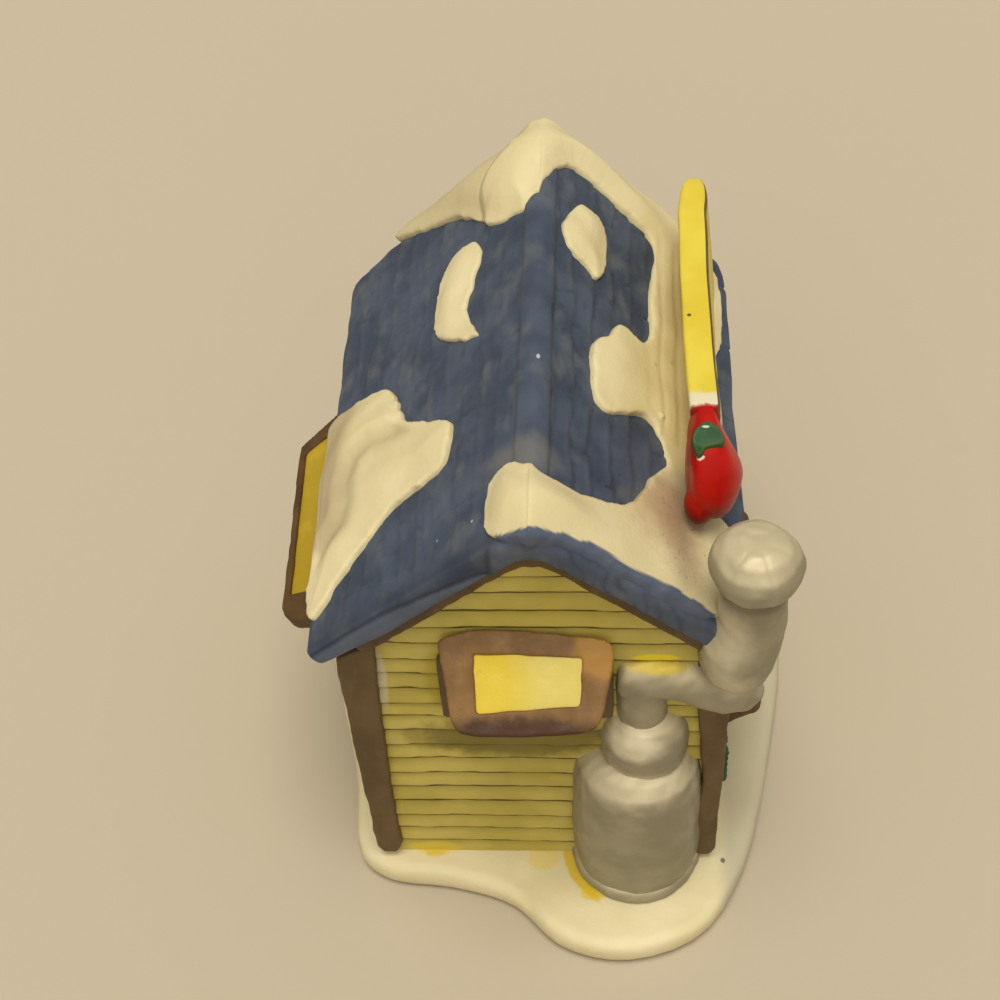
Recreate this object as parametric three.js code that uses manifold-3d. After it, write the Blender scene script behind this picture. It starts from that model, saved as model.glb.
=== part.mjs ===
// Winter village apple stand: a small clapboard stall with a shingled gable roof, stove and roof sign.
// Millimetres, +Z up. The front gable faces -Y and the stove stands to the right of its window.
// The house is drawn with X = 0 midway between the front corners, Y = 0 on the front wall and
// Z = 0 on the snow, and is then set with the middle of its footprint at the origin.
import * as THREE from 'three';
import { mergeVertices } from 'three/addons/utils/BufferGeometryUtils.js';
import Module from 'manifold-3d';

const wasm = await Module();
wasm.setup();

// Fit between neighbouring pieces
const SEAT = 0.3;

// House body
const HALF_WIDTH = 25.2;
const HOUSE_DEPTH = 69;
const WALL = 2.5;
const BOARD_PITCH = 3.8;
const BOARD_LAP = 0.5;

// Corner posts
const POST_WIDTH = 4.2;
const POST_PROUD = 1.6;
const POST_FOOT = 0.8;

// Roof
const RIDGE_X = 0.8;
const RIDGE_Z = 85.4;
const ROOF_PITCH = 42;
const ROOF_THICKNESS = 4.4;
const LEFT_EAVE = 5.2;
const RIGHT_EAVE = 4.2;
const FRONT_OVERHANG = 3;
const BACK_OVERHANG = 3;
const RIDGE_CAP_HALF = 4;
const RIDGE_CAP_THICKNESS = 1;
const RIDGE_CAP_FRONT = 9;
const RIDGE_CAP_BACK = 57;
const BARGEBOARD_WIDTH = 4;
const BARGEBOARD_THICKNESS = 1.4;

// Snow ground, with a round vent up into the hollow house
const BASE_THICKNESS = 5;
const BASE_LIP = 1.6;
const VENT_DIAMETER = 22;
const VENT_Y = 36;
// Outline points, X and Y, anticlockwise from the left front corner post
const BASE_OUTLINE = [
  [-29, 0], [-24.5, -3.6], [-14, -5], [-4.5, -8], [3, -14.8], [13, -17], [24.5, -12.8],
  [31.5, -2], [36.5, 18], [39.5, 40], [38, 60], [30, 74], [0, 77.5], [-28, 74], [-37, 60],
  [-38.5, 45], [-35, 30], [-31, 14],
];

// Windows flat on the walls, shutters held open over two of them, and the counter below the third.
// A middle is along its wall, a reach is out from it, and a tilt is downward in degrees.
const FRAME_BAR = 2.6;
const FRAME_THICKNESS = 1.2;
const PANE_THICKNESS = 0.8;
const FRONT_WINDOW = { middle: -0.8, width: 24, bottom: 41 };
const LEFT_WINDOW = { middle: 25, width: 33, bottom: 34 };
const RIGHT_WINDOW = { middle: 25.5, width: 37, bottom: 34, belowEave: 5.8 };
const SHUTTER_THICKNESS = 2.4;
const SHUTTER_CORNER = 2.2;
const SHUTTER_END_BAR = 3.8;
const SHUTTER_HINGE_BAR = 1.8;
const SHUTTER_EDGE_BAR = 2.6;
const FRONT_SHUTTER = { middle: -0.6, width: 22.8, taper: 1.3, reach: 12.4, hinge: 59.2, tilt: 32 };
const LEFT_SHUTTER = { middle: 25, width: 37, taper: 2.8, reach: 10.6, belowEave: 2.1, tilt: 24 };
const COUNTER = { middle: 25.3, width: 41.6, taper: 2, reach: 6.6, hinge: 31, tilt: -6 };

// Evergreen wreath on the serving side
const WREATH_Y = 10.5;
const WREATH_Z = 12.5;
const WREATH_RADIUS = 3.8;
const WREATH_TUBE = 1.5;

// Roof sign, and the apple on its front end
const SIGN_OUT = 0.3;
const SIGN_LEAN = 8;
const SIGN_THICKNESS = 2.7;
const SIGN_HEIGHT = 19;
const SIGN_FRONT = 19.5;
const SIGN_BACK = 68.6;
const SIGN_CORNER = 5;
const APPLE_SHIFT = 0.7;
const APPLE_Y = 19;
const APPLE_RISE = 8.8;
const APPLE_RADIUS = 7.9;
const APPLE_HALF_THICKNESS = 3.8;
const LEAF_LENGTH = 4.6;
const LEAF_WIDTH = 3.6;
const LEAF_THICKNESS = 0.9;

// Stove against the front wall, its pipe beside the window, its flue along the wall and the
// chimney stack outside the corner
const STOVE_Y = 0.8;
const DRUM_SHIFT = 0.6;
const STOVE_FOOT_RADIUS = 10.1;
const STOVE_FOOT_HEIGHT = 3;
const DRUM_RADIUS = 9.5;
const DRUM_TOP = 27;
const SHOULDER_RISE = 4;
const COLLAR_RADIUS = 6.4;
const COLLAR_HEIGHT = 6;
const COLLAR_RISE = 2.4;
const PIPE_GAP = 0.2;
const PIPE_RADIUS = 3.9;
const FLUE_BELOW_BARGEBOARD = 3.7;
const FLUE_DROOP = 1.6;
const IRON_EDGE = 0.9;
const STACK_OUT = 4;
const STACK_Y = -1;
const STACK_RADIUS = 4.3;
const STACK_DROP = 2.2;
const STACK_TOP = 72;
const CAP_RADIUS = 6;
const CAP_HEIGHT = 7.4;
const CAP_RIM_HEIGHT = 2.6;
const CAP_FLARE = 1.2;

// Roof snow: outline points on a slope, as Y and the distance down from the ridge
const SNOW_DEPTH = 1.8;
const BACK_SNOW_DEPTH = 2.6;
const SNOW_EDGE = 0.6;
const SNOW_BACK_LEFT = [
  [73.6, 1.6], [70, 1], [62, 1], [58.6, 2], [58, 6], [60, 10.4], [62.4, 11.6], [66.8, 17],
  [68.5, 22], [71.4, 31], [73, 30], [73.8, 20],
];
const SNOW_CRESCENT = [
  [58.4, 14], [54, 11.2], [48, 12.2], [43, 12.6], [38.4, 11.6], [38.6, 15], [42, 18.6], [48, 20], [55, 18],
];
const SNOW_DRIFT_LEFT = [
  [40, 30], [34.7, 26.7], [29.2, 24], [24, 15.2], [17, 15.5], [15, 24], [11, 30], [3, 40],
  [8, 41.6], [37, 41.4],
];
const SNOW_FRONT_LEFT = [[7.6, 1], [8, 2.4], [5, 6.4], [1, 6.8], [-1.4, 5], [-1.8, 1]];
const SNOW_FRONT_RIGHT = [
  [7.6, 1], [7.8, 8], [9.4, 15], [13.6, 19.6], [14, 22], [14, 33], [13.4, 36.6], [4, 37],
  [-1.6, 32], [-1.8, 18], [-1.6, 1.4],
];
const SNOW_BACK_RIGHT = [
  [73.6, 1.4], [67, 1.4], [69.6, 6], [69.6, 12.4], [69.6, 20], [69.6, 33], [71, 35], [73.4, 33], [74.6, 20],
];
const SNOW_SPOT_RIGHT = [[63, 8.6], [57, 5.4], [51, 6], [48.8, 10], [53, 13], [60, 12.6]];
// The snow beside the sign is measured down the slope from the sign's foot
const SNOW_STRIP_RIGHT = [
  [15.8, -10.8], [18, -10.8], [24, -8.8], [28, -12.6], [25, -18.2], [29, -22.2], [38, -20.8],
  [43.6, -16.8], [46, -11.2], [60, -9.8], [66, -10], [67.6, -8.6], [67.6, -2.8], [66, -1.8],
  [50, -1.8], [32, -1.8], [17, -1.8], [15.8, -2.8],
];
const SNOW_SIGN_FOOT = [[67, 1.2], [66, 3.8], [56, 4.4], [47, 3.8], [43.6, 2.2], [48, 0.4], [58, 0.2]];

const paint = {
  snow: { color: 0xe9e2cf, roughness: 0.8 },
  board: { color: 0xb5a545, roughness: 0.75 },
  timber: { color: 0x5f4130, roughness: 0.7 },
  shingle: { color: 0x3c4a68, roughness: 0.75 },
  glow: { color: 0xe3c83a, roughness: 0.6 },
  sign: { color: 0xe8cf3e, roughness: 0.55 },
  apple: { color: 0xb01510, roughness: 0.3 },
  leaf: { color: 0x1c5a30, roughness: 0.4 },
  iron: { color: 0x8d8776, roughness: 0.45 },
};

const stand = new THREE.Group();

function addPiece(name, geometry, finish) {
  const material = new THREE.MeshStandardMaterial({ ...paint[finish], metalness: 0 });
  const mesh = new THREE.Mesh(geometry, material);
  mesh.name = name;
  stand.add(mesh);
}

// Boolean joins and cuts
function toSolid(geometry) {
  const bare = geometry.clone();
  bare.deleteAttribute('normal');
  bare.deleteAttribute('uv');
  const merged = mergeVertices(bare, 1e-4);
  return new wasm.Manifold(new wasm.Mesh({
    numProp: 3,
    vertProperties: new Float32Array(merged.attributes.position.array),
    triVerts: new Uint32Array(merged.index.array),
  }));
}

function toGeometry(solid) {
  const mesh = solid.getMesh();
  const geometry = new THREE.BufferGeometry();
  geometry.setAttribute('position', new THREE.BufferAttribute(mesh.vertProperties, 3));
  geometry.setIndex(new THREE.BufferAttribute(mesh.triVerts, 1));
  geometry.computeVertexNormals();
  return geometry;
}

function cut(geometry, ...tools) {
  let solid = toSolid(geometry);
  for (const tool of tools) solid = solid.subtract(toSolid(tool));
  return toGeometry(solid);
}

function common(geometry, other) {
  return toGeometry(toSolid(geometry).intersect(toSolid(other)));
}

// Plane figures swept straight
const shapeOf = (points) => new THREE.Shape(points.map(([a, b]) => new THREE.Vector2(a, b)));

function sweep(shape, from, to, axes, bevel = 0, bevelSteps = 1, arcSteps = 4) {
  const geometry = new THREE.ExtrudeGeometry(shape, {
    depth: to - from - 2 * bevel,
    bevelEnabled: bevel > 0,
    bevelThickness: bevel,
    bevelSize: bevel,
    bevelOffset: -bevel,
    bevelSegments: bevelSteps,
    curveSegments: arcSteps,
  });
  geometry.translate(0, 0, from + bevel);
  geometry.applyMatrix4(new THREE.Matrix4().makeBasis(...axes));
  return geometry;
}

const UNIT_X = new THREE.Vector3(1, 0, 0);
const UNIT_Y = new THREE.Vector3(0, 1, 0);
const UNIT_Z = new THREE.Vector3(0, 0, 1);
const BACKWARD = new THREE.Vector3(0, -1, 0);

// A figure in Y and Z swept along X, in X and Z swept along Y, or in X and Y swept along Z
const alongX = (shape, from, to) => sweep(shape, from, to, [UNIT_Y, UNIT_Z, UNIT_X]);
const alongY = (shape, from, to) => sweep(shape, -to, -from, [UNIT_X, UNIT_Z, BACKWARD]);
const alongZ = (shape, from, to, ...edge) => sweep(shape, from, to, [UNIT_X, UNIT_Y, UNIT_Z], ...edge);

const rectangle = (a0, a1, b0, b1) => shapeOf([[a0, b0], [a1, b0], [a1, b1], [a0, b1]]);
const block = (x0, x1, y0, y1, z0, z1) => alongZ(rectangle(x0, x1, y0, y1), z0, z1);

function smoothOutline(points, steps) {
  const knots = points.map(([a, b]) => new THREE.Vector3(a, b, 0));
  const curve = new THREE.CatmullRomCurve3(knots, true, 'centripetal');
  return shapeOf(curve.getPoints(steps).slice(0, -1).map((p) => [p.x, p.y]));
}

function roundedCorners(shape, a0, a1, b0, b1, radius) {
  shape.moveTo(a0 + radius, b0);
  shape.lineTo(a1 - radius, b0);
  shape.absarc(a1 - radius, b0 + radius, radius, -Math.PI / 2, 0);
  shape.lineTo(a1, b1 - radius);
  shape.absarc(a1 - radius, b1 - radius, radius, 0, Math.PI / 2);
  shape.lineTo(a0 + radius, b1);
  shape.absarc(a0 + radius, b1 - radius, radius, Math.PI / 2, Math.PI);
  shape.lineTo(a0, b0 + radius);
  shape.absarc(a0 + radius, b0 + radius, radius, Math.PI, 1.5 * Math.PI);
  return shape;
}

// Roof cross-section: side is -1 on the left and 1 on the right, down is the distance along the
// slope from the ridge, and up is the height square to the slope.
const PITCH = THREE.MathUtils.degToRad(ROOF_PITCH);
const roofRun = { '-1': HALF_WIDTH + LEFT_EAVE + RIDGE_X, 1: HALF_WIDTH + RIGHT_EAVE - RIDGE_X };
const slopeLength = (side) => roofRun[side] / Math.cos(PITCH);
const onSlope = (side, down, up) => [
  RIDGE_X + side * (down * Math.cos(PITCH) + up * Math.sin(PITCH)),
  RIDGE_Z - down * Math.sin(PITCH) + up * Math.cos(PITCH),
];
const underRidge = RIDGE_Z - ROOF_THICKNESS / Math.cos(PITCH);
const underside = (x) => underRidge - Math.abs(x - RIDGE_X) * Math.tan(PITCH);

// Snow ground
const ground = smoothOutline(BASE_OUTLINE, 64);
ground.holes.push(new THREE.Path().absarc(0, VENT_Y, VENT_DIAMETER / 2, 0, 2 * Math.PI, true));
addPiece('snow_base', alongZ(ground, -BASE_THICKNESS, 0, BASE_LIP, 2, 12), 'snow');

// Walls: each is a lapped board section, cut to the gable or between the posts
const wallEnd = HALF_WIDTH - POST_WIDTH + POST_PROUD;
const wallFoot = SEAT;

function lappedBoards(top) {
  const points = [[WALL, wallFoot]];
  for (let z = wallFoot; z < top; z += BOARD_PITCH) {
    points.push([-BOARD_LAP, z], [0, Math.min(z + BOARD_PITCH, top)]);
  }
  points.push([WALL, top]);
  return points;
}

const gableWall = alongY(shapeOf([
  [-wallEnd + SEAT, wallFoot],
  [wallEnd - SEAT, wallFoot],
  [wallEnd - SEAT, underside(wallEnd - SEAT) - SEAT],
  [RIDGE_X, underside(RIDGE_X) - SEAT],
  [-wallEnd + SEAT, underside(-wallEnd + SEAT) - SEAT],
]), -WALL, HOUSE_DEPTH + WALL);
const gableBoards = lappedBoards(RIDGE_Z);
const frontBoards = alongX(shapeOf(gableBoards), -HALF_WIDTH, HALF_WIDTH);
const backSection = gableBoards.map(([y, z]) => [HOUSE_DEPTH - y, z]).reverse();
const backBoards = alongX(shapeOf(backSection), -HALF_WIDTH, HALF_WIDTH);
addPiece('wall_front', common(frontBoards, gableWall), 'board');
addPiece('wall_back', common(backBoards, gableWall), 'board');

const sideStart = Math.max(POST_WIDTH - POST_PROUD, WALL) + SEAT;
const eaveWallTop = (side) => underside(side * (HALF_WIDTH + BOARD_LAP)) - SEAT;

function sideWall(side) {
  const section = lappedBoards(eaveWallTop(side)).map(([inward, z]) => [side * (HALF_WIDTH - inward), z]);
  return alongY(shapeOf(side > 0 ? section.reverse() : section), sideStart, HOUSE_DEPTH - sideStart);
}

addPiece('wall_left', sideWall(-1), 'board');
addPiece('wall_right', sideWall(1), 'board');

// Chimney stack: it rises past the right front corner of the roof, whose pieces are cut around it.
// The flue that it stands on passes just under the end of the bargeboard.
const bargeboardEnd = underside(wallEnd - SEAT) - (SEAT + BARGEBOARD_WIDTH) / Math.cos(PITCH);
const flueZ = bargeboardEnd - FLUE_BELOW_BARGEBOARD;
const stackX = HALF_WIDTH + STACK_OUT;
const stackBottom = flueZ - STACK_DROP;

const turned = (profile, steps) => {
  const geometry = new THREE.LatheGeometry(profile.map(([r, z]) => new THREE.Vector2(r, z)), steps);
  return geometry.rotateX(Math.PI / 2);
};

function stackProfile(grow) {
  const radius = STACK_RADIUS + grow;
  const points = [];
  for (let i = 0; i <= 4; i += 1) {
    const angle = (i / 4) * Math.PI / 2;
    points.push([radius * Math.sin(angle), stackBottom - grow + radius * (1 - Math.cos(angle))]);
  }
  points[0][0] = 0;
  return points;
}

const stack = turned([...stackProfile(0), [STACK_RADIUS, STACK_TOP], [0, STACK_TOP]], 20)
  .translate(stackX, STACK_Y, 0);
const aroundStack = turned([...stackProfile(SEAT), [STACK_RADIUS + SEAT, STACK_TOP], [0, STACK_TOP]], 20)
  .translate(stackX, STACK_Y, 0);

// Roof slabs, each with a full round at the eave
function roofSlab(side) {
  const length = slopeLength(side);
  const radius = ROOF_THICKNESS / 2;
  const halfJoint = SEAT / 2 / Math.cos(PITCH);
  const points = [onSlope(side, halfJoint, 0)];
  for (let i = 0; i <= 6; i += 1) {
    const angle = Math.PI / 2 - (i / 6) * Math.PI;
    points.push(onSlope(side, length - radius + radius * Math.cos(angle), radius * Math.sin(angle) - radius));
  }
  points.push([RIDGE_X + side * SEAT / 2, underRidge]);
  return alongY(shapeOf(side > 0 ? points.reverse() : points), -FRONT_OVERHANG, HOUSE_DEPTH + BACK_OVERHANG);
}

addPiece('roof_left', roofSlab(-1), 'shingle');
addPiece('roof_right', cut(roofSlab(1), aroundStack), 'shingle');

const capLow = SEAT;
const capHigh = SEAT + RIDGE_CAP_THICKNESS;
const peak = (up) => [RIDGE_X, RIDGE_Z + up / Math.cos(PITCH)];
addPiece('ridge_cap', alongY(shapeOf([
  onSlope(-1, RIDGE_CAP_HALF, capLow), peak(capLow), onSlope(1, RIDGE_CAP_HALF, capLow),
  onSlope(1, RIDGE_CAP_HALF, capHigh), peak(capHigh), onSlope(-1, RIDGE_CAP_HALF, capHigh),
]), RIDGE_CAP_FRONT, RIDGE_CAP_BACK), 'shingle');

// Bargeboards under the roof edge on both gables
function bargeboard(side, front) {
  const top = -ROOF_THICKNESS - SEAT;
  const bottom = top - BARGEBOARD_WIDTH;
  const fromRidge = (up) => SEAT / 2 / Math.cos(PITCH) - up * Math.tan(PITCH);
  const foot = (wallEnd - SEAT - RIDGE_X * side) / Math.cos(PITCH);
  const points = [
    onSlope(side, fromRidge(top), top), onSlope(side, foot - top * Math.tan(PITCH), top),
    onSlope(side, foot - bottom * Math.tan(PITCH), bottom), onSlope(side, fromRidge(bottom), bottom),
  ];
  const near = BOARD_LAP + SEAT;
  const far = near + BARGEBOARD_THICKNESS;
  const [y0, y1] = front ? [-far, -near] : [HOUSE_DEPTH + near, HOUSE_DEPTH + far];
  return alongY(shapeOf(side > 0 ? points.reverse() : points), y0, y1);
}

addPiece('bargeboard_front_left', bargeboard(-1, true), 'timber');
addPiece('bargeboard_front_right', cut(bargeboard(1, true), aroundStack), 'timber');
addPiece('bargeboard_back_left', bargeboard(-1, false), 'timber');
addPiece('bargeboard_back_right', bargeboard(1, false), 'timber');

// What is fixed on a wall stands this far out from its plane, clear of the lapped boards
const RELIEF = BOARD_LAP + SEAT;

// Stove and its flue: half-round relief on the front wall
const frontSpace = block(-HALF_WIDTH, 2 * HALF_WIDTH, -HALF_WIDTH, -RELIEF, -BASE_THICKNESS, 2 * RIDGE_Z);
const relief = (x, profile) => common(turned(profile, 36).translate(x, STOVE_Y, 0), frontSpace);

const pipeX = FRONT_WINDOW.middle + FRONT_WINDOW.width / 2 + PIPE_GAP + PIPE_RADIUS;
const stoveX = pipeX - DRUM_SHIFT;
const pipeBottom = DRUM_TOP + SHOULDER_RISE + COLLAR_HEIGHT + COLLAR_RISE + 2 * SEAT;
const pipeTop = flueZ - PIPE_RADIUS - SEAT;
const flueStart = pipeX + PIPE_RADIUS + SEAT;

function flue(grow) {
  const path = new THREE.CatmullRomCurve3([
    new THREE.Vector3(flueStart - grow, STOVE_Y, flueZ),
    new THREE.Vector3((flueStart + stackX - STACK_RADIUS) / 2, STOVE_Y, flueZ),
    new THREE.Vector3(stackX - STACK_RADIUS, (STOVE_Y + STACK_Y) / 2, flueZ - FLUE_DROOP / 2),
    new THREE.Vector3(stackX, STACK_Y, flueZ - FLUE_DROOP),
  ]);
  const ring = new THREE.Shape().absarc(0, 0, PIPE_RADIUS + grow, 0, 2 * Math.PI);
  return new THREE.ExtrudeGeometry(ring, { steps: 10, curveSegments: 8, extrudePath: path });
}

// The elbow joins a stub from the pipe below, a ball at the turn and a stub toward the flue
const elbowStub = turned([
  [0, pipeTop + SEAT], [PIPE_RADIUS, pipeTop + SEAT], [PIPE_RADIUS, flueZ], [0, flueZ],
], 24);
const elbowBall = new THREE.SphereGeometry(PIPE_RADIUS, 24, 16).rotateX(Math.PI / 2);
elbowBall.translate(0, 0, flueZ);
const elbowOutlet = new THREE.CylinderGeometry(PIPE_RADIUS, PIPE_RADIUS, PIPE_RADIUS, 24);
elbowOutlet.rotateZ(Math.PI / 2).translate(PIPE_RADIUS / 2, 0, flueZ);
const elbow = toGeometry(toSolid(elbowStub).add(toSolid(elbowBall)).add(toSolid(elbowOutlet)));
elbow.translate(pipeX, STOVE_Y, 0);

// Corner posts reach from the snow to the roof; the stove's flue passes in front of one of them
function cornerPost(side, front) {
  const x0 = side * wallEnd;
  const x1 = side * (wallEnd + POST_WIDTH);
  const outline = shapeOf([
    [x0, POST_FOOT], [x1, POST_FOOT], [x1, underside(x1) - SEAT], [x0, underside(x0) - SEAT],
  ]);
  const y0 = front ? -POST_PROUD : HOUSE_DEPTH - POST_WIDTH + POST_PROUD;
  return alongY(outline, y0, y0 + POST_WIDTH);
}

const aroundFlue = common(flue(SEAT), frontSpace.clone().translate(0, SEAT, 0));
addPiece('post_front_left', cornerPost(-1, true), 'timber');
addPiece('post_front_right', cut(cornerPost(1, true), aroundFlue, aroundStack), 'timber');
addPiece('post_back_left', cornerPost(-1, false), 'timber');
addPiece('post_back_right', cornerPost(1, false), 'timber');

const aroundPost = block(wallEnd - SEAT, wallEnd + POST_WIDTH, -POST_PROUD - SEAT, POST_WIDTH, 0, RIDGE_Z);
const drumFoot = STOVE_FOOT_HEIGHT + SEAT;
const collarFoot = DRUM_TOP + SHOULDER_RISE + SEAT;
const collarTop = collarFoot + COLLAR_HEIGHT;
addPiece('stove_foot_ring', cut(relief(stoveX, [
  [0, SEAT],
  [STOVE_FOOT_RADIUS, SEAT],
  [STOVE_FOOT_RADIUS, STOVE_FOOT_HEIGHT - IRON_EDGE],
  [STOVE_FOOT_RADIUS - IRON_EDGE, STOVE_FOOT_HEIGHT],
  [0, STOVE_FOOT_HEIGHT],
]), aroundPost), 'iron');
addPiece('stove_drum', cut(relief(stoveX, [
  [0, drumFoot],
  [DRUM_RADIUS, drumFoot],
  [DRUM_RADIUS, DRUM_TOP - IRON_EDGE],
  [DRUM_RADIUS - IRON_EDGE, DRUM_TOP],
  [COLLAR_RADIUS + IRON_EDGE, DRUM_TOP + SHOULDER_RISE],
  [0, DRUM_TOP + SHOULDER_RISE],
]), aroundPost), 'iron');
addPiece('stove_collar', relief(pipeX, [
  [0, collarFoot],
  [COLLAR_RADIUS, collarFoot],
  [COLLAR_RADIUS, collarTop - IRON_EDGE],
  [COLLAR_RADIUS - IRON_EDGE, collarTop],
  [PIPE_RADIUS + IRON_EDGE, collarTop + COLLAR_RISE],
  [0, collarTop + COLLAR_RISE],
]), 'iron');
addPiece('stove_pipe', relief(pipeX, [
  [0, pipeBottom], [PIPE_RADIUS, pipeBottom], [PIPE_RADIUS, pipeTop], [0, pipeTop],
]), 'iron');
addPiece('stove_elbow', common(elbow, frontSpace), 'iron');
addPiece('stove_flue', cut(common(flue(0), frontSpace), aroundStack), 'iron');
addPiece('chimney_stack', stack, 'iron');

const capFoot = STACK_TOP + SEAT;
const capProfile = [[0, capFoot], [CAP_RADIUS - CAP_FLARE, capFoot]];
for (let i = 0; i < 8; i += 1) {
  const angle = (i / 8) * Math.PI / 2;
  const height = CAP_RIM_HEIGHT + (CAP_HEIGHT - CAP_RIM_HEIGHT) * Math.sin(angle);
  capProfile.push([CAP_RADIUS * Math.cos(angle), capFoot + height]);
}
capProfile.push([0, capFoot + CAP_HEIGHT]);
addPiece('chimney_cap', turned(capProfile, 28).translate(stackX, STACK_Y, 0), 'iron');

// Windows, shutters and counter: flat frames with a pane in each, on any of three walls
const ON_FRONT = { along: UNIT_X, out: BACKWARD, origin: (middle) => [middle, -RELIEF] };
const sideRelief = HALF_WIDTH + RELIEF;
const ON_LEFT = { along: BACKWARD, out: UNIT_X.clone().negate(), origin: (middle) => [-sideRelief, middle] };
const ON_RIGHT = { along: UNIT_Y, out: UNIT_X, origin: (middle) => [sideRelief, middle] };

function frameOnWall(place, wall, window, top) {
  const [x, y] = wall.origin(window.middle);
  const axes = [wall.along, UNIT_Z, wall.out];
  const half = window.width / 2;
  const { bottom } = window;
  const frame = roundedCorners(new THREE.Shape(), -half, half, bottom, top, FRAME_THICKNESS / 2);
  const inner = half - FRAME_BAR;
  frame.holes.push(rectangle(-inner, inner, bottom + FRAME_BAR, top - FRAME_BAR));
  addPiece(`window_frame_${place}`, sweep(frame, 0, FRAME_THICKNESS, axes).translate(x, y, 0), 'timber');
  const pane = rectangle(-inner + SEAT, inner - SEAT, bottom + FRAME_BAR + SEAT, top - FRAME_BAR - SEAT);
  addPiece(`window_pane_${place}`, sweep(pane, 0, PANE_THICKNESS, axes).translate(x, y, 0), 'glow');
}

function flapOnWall(frameName, paneName, wall, flap) {
  const [x, y] = wall.origin(flap.middle);
  const tilt = THREE.MathUtils.degToRad(flap.tilt);
  const outward = wall.out.clone().multiplyScalar(Math.cos(tilt)).addScaledVector(UNIT_Z, -Math.sin(tilt));
  const axes = [wall.along, outward, new THREE.Vector3().crossVectors(wall.along, outward)];
  const half = flap.width / 2;
  const tip = half - flap.taper;
  const round = SHUTTER_CORNER;
  const frame = new THREE.Shape();
  frame.moveTo(-half, 0);
  frame.lineTo(half, 0);
  frame.lineTo(tip, flap.reach - round);
  frame.quadraticCurveTo(tip, flap.reach, tip - round, flap.reach);
  frame.lineTo(-tip + round, flap.reach);
  frame.quadraticCurveTo(-tip, flap.reach, -tip, flap.reach - round);
  const inner = half - SHUTTER_END_BAR;
  const edge = flap.reach - SHUTTER_EDGE_BAR;
  frame.holes.push(rectangle(-inner, inner, SHUTTER_HINGE_BAR, edge));
  // A tilt turns the hinge edge's thickness toward the wall, so the flap is moved out by as much
  const moveOut = wall.out.clone().multiplyScalar(Math.sin(Math.abs(tilt)) * SHUTTER_THICKNESS);
  const seated = (geometry) => geometry.translate(x, y, flap.hinge).translate(...moveOut);
  addPiece(frameName, seated(sweep(frame, 0, SHUTTER_THICKNESS, axes)), 'timber');
  const pane = rectangle(-inner + SEAT, inner - SEAT, SHUTTER_HINGE_BAR + SEAT, edge - SEAT);
  addPiece(paneName, seated(sweep(pane, SEAT, SHUTTER_THICKNESS / 2, axes)), 'glow');
}

function belowFlap(flap) {
  const tilt = THREE.MathUtils.degToRad(flap.tilt);
  return flap.hinge - SHUTTER_THICKNESS / Math.cos(tilt) - FRAME_THICKNESS * Math.tan(tilt) - SEAT;
}

const leftShutter = { ...LEFT_SHUTTER, hinge: eaveWallTop(-1) - LEFT_SHUTTER.belowEave };
frameOnWall('front', ON_FRONT, FRONT_WINDOW, belowFlap(FRONT_SHUTTER));
frameOnWall('left', ON_LEFT, LEFT_WINDOW, belowFlap(leftShutter));
frameOnWall('right', ON_RIGHT, RIGHT_WINDOW, eaveWallTop(1) - RIGHT_WINDOW.belowEave);
flapOnWall('shutter_frame_front', 'shutter_pane_front', ON_FRONT, FRONT_SHUTTER);
flapOnWall('shutter_frame_left', 'shutter_pane_left', ON_LEFT, leftShutter);
flapOnWall('counter_frame', 'counter_pane', ON_RIGHT, COUNTER);

const wreath = new THREE.TorusGeometry(WREATH_RADIUS, WREATH_TUBE, 8, 22).rotateY(Math.PI / 2);
addPiece('wreath', wreath.translate(sideRelief + WREATH_TUBE, WREATH_Y, WREATH_Z), 'leaf');

// Roof sign, apple and leaf on the right slope
const underRoofSkin = alongY(shapeOf([
  [RIDGE_X, 0], [2 * HALF_WIDTH, 0],
  onSlope(1, (2 * HALF_WIDTH - RIDGE_X) / Math.cos(PITCH), SEAT), onSlope(1, 0, SEAT),
]), -HOUSE_DEPTH, 2 * HOUSE_DEPTH);

const signFootX = HALF_WIDTH + SIGN_OUT;
const signDown = (signFootX - RIDGE_X) / Math.cos(PITCH);
const signFootZ = onSlope(1, signDown, 0)[1];
const appleX = signFootX - APPLE_SHIFT;
const appleZ = signFootZ + APPLE_RISE;

function appleBody(grow) {
  const ball = new THREE.SphereGeometry(1, 24, 16).rotateX(Math.PI / 2);
  const radius = APPLE_RADIUS + grow;
  return ball.scale(APPLE_HALF_THICKNESS + grow, radius, radius).translate(appleX, APPLE_Y, appleZ);
}

// The sign's plane leans uphill; a figure in it is drawn in Y and in height above the sign's foot
const lean = THREE.MathUtils.degToRad(SIGN_LEAN);
const upSign = new THREE.Vector3(-Math.sin(lean), 0, Math.cos(lean));
const signAxes = [UNIT_Y, upSign, new THREE.Vector3().crossVectors(UNIT_Y, upSign)];
const inSignPlane = (shape, from, to) => sweep(shape, from, to, signAxes).translate(signFootX, 0, signFootZ);

function signBoard(grow) {
  const top = SIGN_HEIGHT + grow;
  const far = SIGN_BACK + grow;
  const outline = new THREE.Shape();
  outline.moveTo(SIGN_FRONT - grow, -SIGN_HEIGHT / 2);
  outline.lineTo(far, -SIGN_HEIGHT / 2);
  outline.lineTo(far, top - SIGN_CORNER);
  outline.absarc(far - SIGN_CORNER, top - SIGN_CORNER, SIGN_CORNER, 0, Math.PI / 2);
  outline.lineTo(SIGN_FRONT - grow, top);
  const half = SIGN_THICKNESS / 2 + grow;
  return inSignPlane(outline, -half, half);
}

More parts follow.
